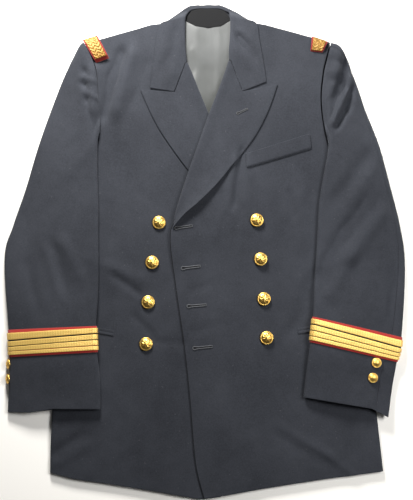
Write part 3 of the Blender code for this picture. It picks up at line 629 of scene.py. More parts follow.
class Layers:
    """Heights of the laid body, from the surface that it lies on."""

    def __init__(self) -> None:
        """Prepare the creases that all pieces on the body share."""
        self.creases = CreaseField(BODY_CREASES, FRONT_DETAILS)
        self.sleeve_creases = CreaseField(SLEEVE_CREASES, SLEEVE_DETAILS)
        self.head_creases = CreaseField(HEAD_CREASES)

    def neck_raise(self, x: float, y: float) -> float:
        """Lift of the cloth over the folded collar behind the neck."""
        return NECK_RAISE * smooth_step(*NECK_LIFT_Y, y) * (1 - smooth_step(*NECK_LIFT_X, abs(x - MIDDLE_X)))

    def ground(self, x: float, y: float) -> float:
        """Middle of the right front's cloth, and of the left one's beside the overlap."""
        up = ((y - CHEST_Y) / CHEST_HALF_LENGTH) ** 2
        chest = max(math.exp(-((x - crown) / CHEST_HALF_WIDTH) ** 2 - up) for crown in CHEST_XS)
        plain = FRONT_MID + CHEST_RISE * chest + self.neck_raise(x, y)
        return max(plain + self.creases.rise(x, y), LOWEST_FRONT)

    def left_front(self, x: float, y: float) -> float:
        """Middle of the left front's cloth, which laps over the right one."""
        edge = table_x(FRONT_RIGHT_ROWS, y, 0, 1)
        beside = 1 - smooth_step(edge + OVERLAP_FADE[0], edge + OVERLAP_FADE[1], x)
        lapel = smooth_step(*OVERLAP_LAPEL_Y, y)
        return self.ground(x, y) + (LAYER + OVER_LAPEL * lapel) * beside

    def body(self, x: float, y: float) -> float:
        """Middle of the uppermost front."""
        return self.ground(x, y) if x < MIDDLE_X else self.left_front(x, y)

    def front(self, side: Side, x: float, y: float) -> float:
        """Middle of one front's cloth."""
        return side.pick(self.ground, self.left_front)(x, y)


class NodeDesk:
    """Adds and joins the nodes of one material."""

    def __init__(self, name: str) -> None:
        """Start a material with an empty desk.

        Args:
            name: Material's name.
        """
        self.material = bpy.data.materials.new(name)
        self.material.use_nodes = True
        self.tree = self.material.node_tree
        self.shader = self.tree.nodes["Principled BSDF"]

    def add(self, kind: str, **values: object) -> bpy.types.Node:
        """Add a node.

        Args:
            kind: Node type's identifier.
            values: Properties, or inputs whose names match with underscores.

        Returns:
            The new node.
        """
        node = self.tree.nodes.new(kind)
        for key, value in values.items():
            socket = node.inputs.get(key.replace("_", " "))
            if socket is not None and not hasattr(node, key):
                socket.default_value = value
            else:
                setattr(node, key, value)
        return node

    def join(self, start: bpy.types.NodeSocket, end: bpy.types.NodeSocket) -> None:
        """Link two sockets."""
        self.tree.links.new(start, end)

    def math(self, operation: str, first: object, second: object = 0.0) -> bpy.types.NodeSocket:
        """Add a math node on two sockets or numbers.

        Args:
            operation: Math operation's name.
            first: Socket or number.
            second: Socket or number.

        Returns:
            The result's socket.
        """
        node = self.add("ShaderNodeMath", operation=operation)
        for index, value in enumerate((first, second)):
            if isinstance(value, bpy.types.NodeSocket):
                self.join(value, node.inputs[index])
            else:
                node.inputs[index].default_value = value
        return node.outputs[0]

    def cloth_point(self) -> Tuple[bpy.types.NodeSocket, bpy.types.NodeSocket]:
        """Give a piece's own u and v, in metres along and across the cloth."""
        source = self.add("ShaderNodeUVMap", uv_map="cloth")
        parts = self.add("ShaderNodeSeparateXYZ")
        self.join(source.outputs[0], parts.inputs[0])
        return parts.outputs[0], parts.outputs[1]

    def noise(self, scale: float, detail: float = 2.0) -> bpy.types.NodeSocket:
        """Add noise on object coordinates.

        Args:
            scale: Lumps in each metre.
            detail: Octaves.

        Returns:
            The noise's socket.
        """
        source = self.add("ShaderNodeTexCoord")
        node = self.add("ShaderNodeTexNoise", Scale=scale, Detail=detail)
        self.join(source.outputs["Object"], node.inputs["Vector"])
        return node.outputs[0]

    def mix(self, share: object, first: Row, second: object) -> bpy.types.NodeSocket:
        """Mix two colours.

        Args:
            share: Socket or number, 0 for the first.
            first: First colour.
            second: Second colour, or its socket.

        Returns:
            The colour's socket.
        """
        node = self.add("ShaderNodeMix", data_type="RGBA")
        for index, value in ((0, share), (6, first), (7, second)):
            if isinstance(value, bpy.types.NodeSocket):
                self.join(value, node.inputs[index])
            else:
                node.inputs[index].default_value = value
        return node.outputs[2]

    def bump(self, height: bpy.types.NodeSocket, distance: float, strength: float) -> None:
        """Drive the shader's normal from a height.

        Args:
            height: Height's socket, 0 to 1.
            distance: Real height in metres.
            strength: Share of it that shows.
        """
        node = self.add("ShaderNodeBump", Strength=strength, Distance=distance)
        self.join(height, node.inputs["Height"])
        self.join(node.outputs[0], self.shader.inputs["Normal"])

    def set(self, **values: object) -> None:
        """Set the shader's own sockets, whose names match with underscores."""
        for key, value in values.items():
            self.shader.inputs[key.replace("_", " ")].default_value = value


@dataclass(frozen=True)
class Twill:
    """Wool-blend twill: a fine diagonal rib, a soft nap, a little lint, and a painted shadow line at an
    edge.
    """

    name: str
    dark: Row
    light: Row
    slot: str = NAVY_SLOT
    lint: Row = (0.16, 0.16, 0.165, 1.0)
    lint_share: float = 0.15
    # Width in metres of a painted shadow line along the cloth's near edge; 0 paints none
    edge: float = 0.0
    edge_shadow_colour: Row = (0.002, 0.002, 0.003, 1.0)
    rib: float = 0.0009
    roughness: float = 0.82
    sheen: float = 0.12

    def material(self) -> bpy.types.Material:
        """Build the node material."""
        desk = NodeDesk(self.name)
        u, v = desk.cloth_point()
        diagonal = desk.math("ADD", u, desk.math("MULTIPLY", v, 0.58))
        wave = desk.math("SINE", desk.math("MULTIPLY", diagonal, 2 * math.pi / self.rib))
        against = desk.math("SUBTRACT", v, u)
        cross = desk.math("SINE", desk.math("MULTIPLY", against, 2 * math.pi / (self.rib * 0.7)))
        weave = desk.math("ADD", desk.math("MULTIPLY", wave, 0.35), desk.math("MULTIPLY", cross, 0.15))
        weave = desk.math("ADD", weave, 0.5)
        nap = desk.noise(420.0, 3.0)
        share = desk.math("MULTIPLY", weave, 0.2)
        for layer, strength in ((desk.noise(8.0, 3.0), 0.9), (desk.noise(60.0, 4.0), 0.35),
                                (nap, 0.65)):
            share = desk.math("ADD", share, desk.math("MULTIPLY", layer, strength))
        share = desk.math("SUBTRACT", share, 0.57)
        cloth = desk.mix(share, self.dark, self.light)
        # Painted shadow: darken the cloth near its edge, where the lapped edge casts shade
        if self.edge:
            beside = desk.math("LESS_THAN", u, self.edge)
            inside = desk.math("SUBTRACT", 1.0, desk.math("MULTIPLY", beside, 0.8))
            cloth = desk.mix(inside, self.edge_shadow_colour, cloth)
        lint = desk.add("ShaderNodeMapRange", From_Min=0.83, From_Max=0.86)
        desk.join(desk.noise(360.0, 0.0), lint.inputs[0])
        fleck = desk.math("SUBTRACT", 1.0, desk.math("MULTIPLY", lint.outputs[0], self.lint_share))
        desk.join(desk.mix(fleck, self.lint, cloth), desk.shader.inputs["Base Color"])
        height = desk.math("ADD", weave, desk.math("MULTIPLY", nap, 0.8))
        desk.bump(height, 0.00018, 0.55)
        desk.set(Roughness=self.roughness, Sheen_Weight=self.sheen, Sheen_Roughness=0.45,
                 Sheen_Tint=(0.88, 0.92, 1.0, 1.0), Specular_IOR_Level=0.16)
        return desk.material


@dataclass(frozen=True)
class Satin:
    """Smooth lining with a fine rib and a soft shine, paler toward the neck and darker lower down as painted
    shade under the lapels.
    """

    name: str
    pale: Row
    deep: Row
    slot: str = "grey_lining"
    rib: float = 0.0007
    # Heights in metres over which the painted shade fades out toward the neck
    shade_fade_y: Spot = (0.19, 0.34)

    def material(self) -> bpy.types.Material:
        """Build the node material."""
        desk = NodeDesk(self.name)
        u, v = desk.cloth_point()
        rib = desk.math("SINE", desk.math("MULTIPLY", desk.math("ADD", u, v), 2 * math.pi / self.rib))
        source = desk.add("ShaderNodeTexCoord")
        parts = desk.add("ShaderNodeSeparateXYZ")
        desk.join(source.outputs["Object"], parts.inputs[0])
        # Painted shade: the colour darkens from the neck downward, where the lapels shade the lining
        fall = desk.add("ShaderNodeMapRange", From_Min=self.shade_fade_y[0], From_Max=self.shade_fade_y[1])
        desk.join(parts.outputs[1], fall.inputs[0])
        share = desk.math("ADD", fall.outputs[0], desk.math("MULTIPLY", desk.noise(24.0), 1.1))
        share = desk.math("SUBTRACT", share, 0.55)
        desk.join(desk.mix(share, self.deep, self.pale), desk.shader.inputs["Base Color"])
        desk.bump(desk.math("ADD", desk.math("MULTIPLY", rib, 0.3), desk.noise(160.0)), 0.00012, 0.4)
        desk.set(Roughness=0.42, Sheen_Weight=0.15, Specular_IOR_Level=0.4)
        return desk.material


@dataclass(frozen=True)
class Felt:
    """Dense fulled wool, matt and slightly fuzzy, with another colour between its edges."""

    name: str
    dark: Row
    light: Row
    slot: str = "red_felt"
    core: Optional[Row] = None
    core_span: Tuple[float, float] = (0.008, 0.033)

    def material(self) -> bpy.types.Material:
        """Build the node material."""
        desk = NodeDesk(self.name)
        fuzz = desk.noise(900.0, 4.0)
        colour = desk.mix(fuzz, self.dark, self.light)
        if self.core:
            v = desk.cloth_point()[1]
            inside = desk.math("MULTIPLY", desk.math("GREATER_THAN", v, self.core_span[0]),
                               desk.math("LESS_THAN", v, self.core_span[1]))
            colour = desk.mix(desk.math("SUBTRACT", 1.0, inside), self.core, colour)
        desk.join(colour, desk.shader.inputs["Base Color"])
        desk.bump(fuzz, 0.0003, 0.6)
        desk.set(Roughness=0.9, Sheen_Weight=0.3, Specular_IOR_Level=0.25)
        return desk.material


@dataclass(frozen=True)
class GoldLace:
    """Braid of gilt threads: ribs across it, and small blocks along it."""

    name: str
    bright: Row
    deep: Row
    slot: str = "gold_lace"
    thread: float = 0.0011
    block: float = 0.0042

    def material(self) -> bpy.types.Material:
        """Build the node material."""
        desk = NodeDesk(self.name)
        u, v = desk.cloth_point()
        threads = desk.math("SINE", desk.math("MULTIPLY", u, 2 * math.pi / self.thread))
        part = desk.math("FRACT", desk.math("DIVIDE", v, self.block))
        slant = desk.math("ABSOLUTE", desk.math("SUBTRACT", part, 0.5))
        shifted = desk.math("ADD", desk.math("DIVIDE", u, self.block), slant)
        chevrons = desk.math("SINE", desk.math("MULTIPLY", shifted, 2 * math.pi))
        grain = desk.noise(1500.0)
        share = desk.math("ADD", desk.math("MULTIPLY", threads, 0.22), desk.math("MULTIPLY", chevrons, 0.2))
        share = desk.math("ADD", share, desk.math("MULTIPLY", grain, 0.5))
        share = desk.math("ADD", share, 0.32)
        desk.join(desk.mix(share, self.deep, self.bright), desk.shader.inputs["Base Color"])
        desk.bump(share, 0.0004, 0.7)
        desk.set(Roughness=0.42, Metallic=0.45, Specular_IOR_Level=0.5)
        return desk.material


@dataclass(frozen=True)
class Gilt:
    """Gilt metal, brighter on high spots, with a little tarnish."""

    name: str
    bright: Row
    dull: Row
    slot: str = "gilt_button"

    def material(self) -> bpy.types.Material:
        """Build the node material."""
        desk = NodeDesk(self.name)
        stain = desk.noise(260.0, 4.0)
        share = desk.math("MULTIPLY", desk.math("SUBTRACT", stain, 0.3), 1.9)
        desk.join(desk.mix(share, self.dull, self.bright), desk.shader.inputs["Base Color"])
        rough = desk.math("SUBTRACT", 0.52, desk.math("MULTIPLY", stain, 0.25))
        desk.join(rough, desk.shader.inputs["Roughness"])
        desk.bump(desk.noise(700.0), 0.00008, 0.3)
        desk.set(Metallic=1.0)
        return desk.material


@dataclass(frozen=True)
class Paper:
    """The plain pale floor."""

    name: str
    colour: Row

    def material(self) -> bpy.types.Material:
        """Build the node material."""
        desk = NodeDesk(self.name)
        share = desk.noise(3.0)
        warm = (self.colour[0], self.colour[1] * 0.985, self.colour[2] * 0.96, 1.0)
        desk.join(desk.mix(share, warm, self.colour), desk.shader.inputs["Base Color"])
        desk.set(Roughness=0.95, Specular_IOR_Level=0.1)
        return desk.material


@dataclass(frozen=True)
class Finish:
    """A built material with the slot of the record that it belongs to."""

    material: bpy.types.Material
    slot: str


def ready(look: Any) -> Finish:
    """Build the material of a look that names its slot."""
    return Finish(look.material(), look.slot)


class Wardrobe:
    """All finishes of the blazer, each built once."""

    def __init__(self) -> None:
        """Build the materials."""
        self.cloth = ready(Twill("navy twill", *NAVY))
        # Left front's twill, with a painted shadow line 1.3 mm wide along its front edge
        self.shadow_edged = ready(Twill("navy twill with a painted edge shadow", *NAVY, edge=0.0013))
        # Stand's navy twill, far darker than the outside cloth as painted shade under the turned collar
        self.inner = ready(Twill("navy twill inside in painted shade", (0.0022, 0.0022, 0.0025, 1),
                                 (0.005, 0.005, 0.0055, 1), slot="collar_stand_cloth", lint_share=0.0))
        # Grey lining, paler near the neck and darker below as painted shade
        self.lining = ready(Satin("grey satin lining", (0.074, 0.077, 0.076, 1), (0.022, 0.024, 0.021, 1)))
        self.felt = ready(Felt("deep red felt", (0.13, 0.008, 0.006, 1), (0.22, 0.014, 0.010, 1)))
        self.band = ready(Felt("cuff felt, navy between red edges", (0.22, 0.012, 0.009, 1),
                               (0.34, 0.022, 0.016, 1), core=(0.006, 0.0065, 0.008, 1)))
        self.lace = ready(GoldLace("gold lace", (0.98, 0.67, 0.20, 1), (0.44, 0.26, 0.04, 1)))
        self.loop_lace = ready(GoldLace("gold lace of the loops", (0.32, 0.16, 0.022, 1),
                                        (0.07, 0.04, 0.005, 1)))
        self.gilt = ready(Gilt("gilt metal", (0.98, 0.68, 0.20, 1), (0.55, 0.31, 0.06, 1)))
        # Buttonhole thread: navy painted lighter than the cloth, a painted sheen
        self.thread = ready(Twill("navy thread with painted sheen", (0.035, 0.036, 0.039, 1), (0.11, 0.114, 0.12, 1),
                                  rib=0.0004, lint_share=0.0))
        self.slit = ready(Felt("shadowed slit", (0.004, 0.004, 0.006, 1), (0.008, 0.009, 0.012, 1),
                               slot=NAVY_SLOT))
        self.floor = Paper("pale floor", (0.90, 0.885, 0.85, 1)).material()


def enrol(piece: bpy.types.Object, slot: str, *nodes: str) -> bpy.types.Object:
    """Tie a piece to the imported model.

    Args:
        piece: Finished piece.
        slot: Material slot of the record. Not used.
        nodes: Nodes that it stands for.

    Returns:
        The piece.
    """
    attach(piece, "root")
    if nodes:
        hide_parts(*nodes)
    LOG.info("%s: %d faces", piece.name, len(piece.data.polygons))
    return piece


def settle(bm: bmesh.types.BMesh) -> None:
    """Scale a piece from millimetres to metres and centre it as the model is."""
    bmesh.ops.scale(bm, vec=(MM, MM, MM), verts=bm.verts)
    bmesh.ops.translate(bm, vec=(0, -PICTURE_MIDDLE_Y * MM, 0), verts=bm.verts)


def as_object(name: str, bm: bmesh.types.BMesh, material: bpy.types.Material) -> bpy.types.Object:
    """Turn a finished bmesh into a smooth object.

    Args:
        name: Piece's name.
        bm: Its mesh, which is freed.
        material: Its finish.

    Returns:
        The object, at the origin.
    """
    mesh = bpy.data.meshes.new(name)
    bm.to_mesh(mesh)
    bm.free()
    mesh.materials.append(material)
    mesh.polygons.foreach_set("use_smooth", [True] * len(mesh.polygons))
    piece = bpy.data.objects.new(name, mesh)
    bpy.context.scene.collection.objects.link(piece)
    return piece


@dataclass(frozen=True)
class Cut:
    """The flat cloth that a piece is cut from, in metres and square metres."""

    width: float
    length: float
    area: float


CUTS = {
    "back": Cut(0.30, 0.79, 0.19),
    "front": Cut(0.37, 0.80, 0.215),
    "lapel": Cut(0.12, 0.29, 0.0185),
    "collar": Cut(0.42, 0.085, 0.0225),
    "stand": Cut(0.11, 0.032, 0.0024),
    "lining": Cut(0.125, 0.19, 0.0158),
    "upper sleeve": Cut(0.17, 0.61, 0.077),
    "under sleeve": Cut(0.18, 0.61, 0.077),
    "cuff band": Cut(0.30, 0.045, 0.0123),
    "welt": Cut(0.115, 0.034, 0.0031),
    "jet": Cut(0.105, 0.012, 0.0009),
}


@dataclass
class ClothSheet:
    """A thin cloth piece laid through a place function on a fine grid."""

    name: str
    columns: int
    rows: int
    place: Place
    finish: Finish
    thickness: float = CLOTH
    closed: bool = False
    soft_edge: float = 0.45

    def build(self, node: str, cut: Cut, *rests_on: str) -> bpy.types.Object:
        """Make the piece and tie it to the node it replaces.

        Args:
            node: Node that it stands for.
            cut: Its flat cloth. Not used.
            rests_on: Nodes or pieces that it lies on. Not used.

        Returns:
            The finished piece.
        """
        bm = bmesh.new()
        bmesh.ops.create_grid(bm, x_segments=self.columns, y_segments=self.rows, size=1.0)
        spots = {}
        for vert in bm.verts:
            column = round((vert.co.x + 1) / 2 * self.columns)
            row = round((vert.co.y + 1) / 2 * self.rows)
            spots[vert.index] = (column, row)
            vert.co = Vector(self.place(column, row))
        self.add_uv(bm, spots)
        settle(bm)
        if self.closed:
            bmesh.ops.remove_doubles(bm, verts=bm.verts, dist=0.00002)
        bmesh.ops.recalc_face_normals(bm, faces=bm.faces)
        piece = as_object(self.name, bm, self.finish.material)
        solid = piece.modifiers.new("Cloth", "SOLIDIFY")
        solid.thickness = self.thickness * MM
        solid.offset = 0.0
        if self.soft_edge:
            edge = piece.modifiers.new("Soft edge", "BEVEL")
            edge.width = self.soft_edge * MM
            edge.segments = 2
            edge.limit_method = "ANGLE"
            edge.angle_limit = math.radians(60)
        enrol(piece, self.finish.slot, node)
        return piece

    def add_uv(self, bm: bmesh.types.BMesh, spots: dict) -> None:
        """Lay a map in metres along the piece's middle row and column.

        Args:
            bm: The piece's grid, in millimetres.
            spots: Column and row of each vertex.
        """
        across = self.lengths([self.place(c, self.rows // 2) for c in range(self.columns + 1)])
        upward = self.lengths([self.place(self.columns // 2, r) for r in range(self.rows + 1)])
        layer = bm.loops.layers.uv.new("cloth")
        for face in bm.faces:
            for loop in face.loops:
                column, row = spots[loop.vert.index]
                loop[layer].uv = (across[column], upward[row])

    @staticmethod
    def lengths(points: Sequence[Point]) -> List[float]:
        """Give each point's distance along a line, in metres."""
        total = 0.0
        result = [0.0]
        for start, end in zip(points, points[1:]):
            total += math.dist(start, end) * MM
            result.append(total)
        return result


@dataclass
class BackPanel:
    """Half of the back, flat on the floor, with its centre seam in the middle."""

    side: Side
    layers: Layers
    wardrobe: Wardrobe
    columns: int = 30
    rows: int = 60

    def build(self) -> bpy.types.Object:
        """Make the panel."""
        table = self.side.pick(BACK_RIGHT_ROWS, BACK_LEFT_ROWS)
        top = self.side.pick(BACK_TOP_RIGHT, BACK_TOP_LEFT)
        last = len(table) - 1

        def place(column: int, row: int) -> Point:
            """Lay a point of the panel."""
            up = row / self.rows
            inner_x, inner_y, outer_x, outer_y = along(table, up * last)
            across = column / self.columns
            inner_x += self.side.way * GAP / 2
            spot = between((inner_x, inner_y), (outer_x, outer_y), across)
            x, y = follow(spot, top, across, max(0.0, up * 6 - 5))
            return x, y, BACK_MID + self.layers.neck_raise(x, y)

        label = self.side.value
        sheet = ClothSheet("back_panel_" + label, self.columns, self.rows, place, self.wardrobe.cloth)
        return sheet.build("back_" + label, CUTS["back"], "floor")


@dataclass
class FrontPanel:
    """One front: rolled over at its side and shoulder, with its dart sunk in."""

    side: Side
    layers: Layers
    wardrobe: Wardrobe
    columns: int = 84
    rows: int = 186
    roll_rows: Spot = (5.05, 5.5)
    open_rows: Spot = (5.2, 6.3)

    def build(self) -> bpy.types.Object:
        """Make the panel."""
        table = self.side.pick(FRONT_RIGHT_ROWS, FRONT_LEFT_ROWS)
        hem = self.side.pick(HEM_RIGHT, HEM_LEFT)
        shoulder = self.side.pick(SHOULDER_RIGHT, SHOULDER_LEFT)
        last = len(table) - 1
        row_shares = spaced(self.rows, PANEL_LENGTH)
        seams = CreaseField(FRONT_SEAMS)
        column_count = self.columns + len(EDGE_STEPS) - 1

        def place(column: int, row: int) -> Point:
            """Lay a point of the panel."""
            up = row_shares[row]
            position = up * last
            inner_x, inner_y, outer_x, outer_y = along(table, position)
            inner_x += self.side.way * ROLL_INSET * smooth_step(*self.roll_rows, position)
            width = abs(outer_x - inner_x)
            across = spaced(self.columns, width)[column]
            spot = between((inner_x, inner_y), (outer_x, outer_y), across)
            for line, weight in ((hem, 1 - up * 6), (shoulder, up * 5 - 4)):
                if weight > 0:
                    spot = follow(spot, line, across, weight)
            x, y = spot
            base = BACK_MID + CLOTH + GAP + self.layers.neck_raise(x, y)
            side = 1 - smooth_step(*self.open_rows, position)
            full = round_off(width * (1 - across)) * side + (1 - side)
            full = min(full, round_off((1 - up) * PANEL_LENGTH))
            z = self.layers.front(self.side, x, y) + seams.rise(x, y)
            return x, y, base + (z - base) * full

        label = self.side.value
        # The left front takes the twill with the painted shadow line along its front edge
        cloth = self.side.pick(self.wardrobe.cloth, self.wardrobe.shadow_edged)
        sheet = ClothSheet("front_panel_" + label, column_count, len(row_shares) - 1, place, cloth)
        return sheet.build("front_" + label, CUTS["front"], "back_panel_" + label)


@dataclass
class Lapel:
    """Peaked lapel, turned out of its front at a soft roll."""

    side: Side
    layers: Layers
    wardrobe: Wardrobe
    lift: float = 0.0
    lift_row: float = 1.7
    columns: int = 34
    rows: int = 84
    fade: float = 5.0
    bulge_width: float = 20.0
    neck_thick: float = 1.2
    neck_y: Spot = (236, 262)
    roll: Tuple[float, ...] = (130, 109, 88, 66, 45, 22, 0)

    def build(self) -> bpy.types.Object:
        """Make the lapel."""
        table = self.side.pick(LAPEL_RIGHT_ROWS, LAPEL_LEFT_ROWS)
        notch = self.side.pick(NOTCH_RIGHT, NOTCH_LEFT)
        way = self.side.way
        last = len(table) - 1
        creases = CreaseField(COLLAR_CREASES)

        def place(column: int, row: int) -> Point:
            """Lay a point of the lapel."""
            position = row / self.rows * last
            roll_x, roll_y, edge_x, edge_y = along(table, position)
            width = math.hypot(edge_x - roll_x, edge_y - roll_y)
            before = along(table, position - 0.2)
            after = along(table, position + 0.2)
            run = math.hypot(after[0] - before[0], after[1] - before[1])
            radius = ROLL_RADIUS * (0.5 + 0.5 * smooth_step(0.0, 1.5, position))
            turn_x = way * radius * (after[1] - before[1]) / run
            turn_y = -way * radius * (after[0] - before[0]) / run
            in_roll = column < len(self.roll)
            across = 0.0 if in_roll else (column - len(self.roll) + 1) / self.columns
            spot = between((roll_x + turn_x, roll_y + turn_y), (edge_x, edge_y), across)
            start = (table[-1][0] + turn_x, table[-1][1] + turn_y)
            weight = max(0.0, 1 - (last - position) / self.fade)
            x, y = bend(spot, (start, notch, table[-1][2:]), across, weight)
            z = self.layers.front(self.side, x, y) + LAYER
            z += ROLL_BULGE * (1 - smooth_step(0, self.bulge_width, width * across))
            lifted = math.exp(-((position - self.lift_row) / self.lift_row) ** 2)
            z += self.lift * across ** 2 * lifted * smooth_step(0, 0.5, position)
            z += 0.5 * creases.rise(x, y) * smooth_step(0, 0.3, across)
            if in_roll:
                angle = math.radians(self.roll[column]) * (0.35 + 0.65 * smooth_step(0, 1.5, position))
                half = (LAYER + ROLL_BULGE + self.neck_thick * smooth_step(*self.neck_y, roll_y)) / 2
                x = roll_x + (x - roll_x) * (1 - math.sin(angle))
                y = roll_y + (y - roll_y) * (1 - math.sin(angle))
                z += half * (math.cos(angle) - 1)
            return x, y, z

        label = self.side.value
        columns = self.columns + len(self.roll) - 1
        sheet = ClothSheet("lapel_leaf_" + label, columns, self.rows, place, self.wardrobe.cloth)
        return sheet.build("lapel_" + label, CUTS["lapel"], "front_panel_" + label)


@dataclass
class Collar:
    """Leaf of the collar, turned down round the neck, with the stand and lining inside."""

    layers: Layers
    wardrobe: Wardrobe
    columns: int = 44
    rows: int = 150
    fade: float = 3.0
    leaf: float = 62.0
    behind_y: Spot = (392, 411)
    behind_top: float = 4.2
    fold_thick: float = 1.4
    back_roll: float = 2.4
    roll: Tuple[float, ...] = (130, 109, 88, 66, 45, 22)
    creases: CreaseField = field(default_factory=lambda: CreaseField(COLLAR_CREASES))
    lining_creases: CreaseField = field(default_factory=lambda: CreaseField(LINING_CREASES))

    def leaf_place(self, column: int, row: int) -> Point:
        """Lay a point of the leaf."""
        last = len(COLLAR_ROWS) - 1
        position = row / self.rows * last
        roll_x, roll_y, turn_x, turn_y, edge_x, edge_y, share_top = along(COLLAR_ROWS, position)
        share_top = min(max(share_top, 0.05), 1.0)
        in_roll = column < len(self.roll)
        across = 0.0 if in_roll else (column - len(self.roll)) / self.columns
        right_side = position < last / 2
        behind = smooth_step(*self.behind_y, roll_y)
        top_z = self.layers.body(roll_x, roll_y) + LAYER + ROLL_BULGE
        top_z += (self.behind_top - top_z) * behind
        low_z = CLOTH / 2 + 0.05
        reach = math.hypot(turn_x - roll_x, turn_y - roll_y)
        step_x = (turn_x - roll_x) / reach * ROLL_RADIUS * (1 - behind)
        step_y = (turn_y - roll_y) / reach * ROLL_RADIUS * (1 - behind)
        turn = (turn_x, turn_y)
        if across < share_top:
            spot = between((roll_x + step_x, roll_y + step_y), turn, across / share_top)
        else:
            spot = between(turn, (edge_x, edge_y), (across - share_top) / max(1 - share_top, 0.001))
        end = position if right_side else last - position
        line = COLLAR_CORNER_RIGHT if right_side else COLLAR_CORNER_LEFT
        start = (line[0][0] + step_x, line[0][1] + step_y)
        x, y = bend(spot, (start, line[1], line[2]), across, max(0.0, 1 - end / self.fade))
        distance = (across - share_top) * self.leaf
        body_top = self.layers.body(x, y) + LAYER + ROLL_BULGE * (1 - smooth_step(0, 0.4, across))
        begun = smooth_step(0.02, 0.25, across) * smooth_step(1.0, 0.75, across)
        body_top += self.creases.rise(x, y) * begun
        on_top = body_top + (top_z - body_top) * behind
        middle = (on_top + low_z) / 2
        full = round_off(abs(distance) * 1.2)
        turned = middle + ((on_top if distance < 0 else low_z) - middle) * full
        z = on_top + (turned - on_top) * (1 - smooth_step(0.985, 1.0, share_top))
        if in_roll:
            angle = math.radians(self.roll[column])
            half = (LAYER + ROLL_BULGE + self.fold_thick) / 2
            curl_x = roll_x + step_x * (1 - math.sin(angle))
            curl_y = roll_y + step_y * (1 - math.sin(angle))
            curl_z = z - half + half * math.cos(angle)
            flat = self.back_roll * (1 - column / len(self.roll))
            x = curl_x + (roll_x - curl_x) * behind
            y = curl_y + (roll_y - flat - curl_y) * behind
            z = curl_z + (z - curl_z) * behind
        return x, y, z

    def build(self) -> None:
        """Make the leaf, the stand and the lining."""
        columns = self.columns + len(self.roll)
        leaf = ClothSheet("collar_leaf", columns, self.rows, self.leaf_place, self.wardrobe.cloth)
        leaf.build("collar_fall", CUTS["collar"], "front_panel_right", "front_panel_left", "floor")
        # The stand takes the darkened twill: painted shade under the collar's fold
        stand = ClothSheet("collar_inner_stand", *STAND_GRID, self.stand_place, self.wardrobe.inner)
        stand.build("collar_stand", CUTS["stand"], "collar_leaf", "back_panel_right")
        lining = ClothSheet("neck_lining", *LINING_GRID, self.lining_place, self.wardrobe.lining, LINING)
        lining.build("back_lining", CUTS["lining"], "back_panel_right", "back_panel_left")

    def stand_place(self, column: int, row: int) -> Point:
        """Lay a point of the stand, which shows its inside behind the neck."""
        across = column / STAND_GRID[0]
        up = row / STAND_GRID[1]
        x, y = between(on_line(NECK_SEAM, across), on_line(STAND_TOP, across), up)
        return x, y, BACK_MID + self.layers.neck_raise(x, y) + 2.0 - 0.8 * up

    def lining_place(self, column: int, row: int) -> Point:
        """Lay a point of the lining below the neck seam."""
        across = column / LINING_GRID[0]
        up = row / LINING_GRID[1]
        left_x, right_x, y = along(LINING_ROWS, up * (len(LINING_ROWS) - 1))
        x = left_x + (right_x - left_x) * across
        weight = max(0.0, up * 8 - 7)
        seam = on_line(NECK_SEAM, across)
        x += (seam[0] - x) * weight
        y += (seam[1] - 0.8 - y) * weight
        plain = BACK_MID + self.layers.neck_raise(x, y) + CLOTH / 2 + GAP + LINING / 2 + 0.1
        return x, y, plain + max(0.0, self.lining_creases.rise(x, y) + 0.2) * (1 - weight)


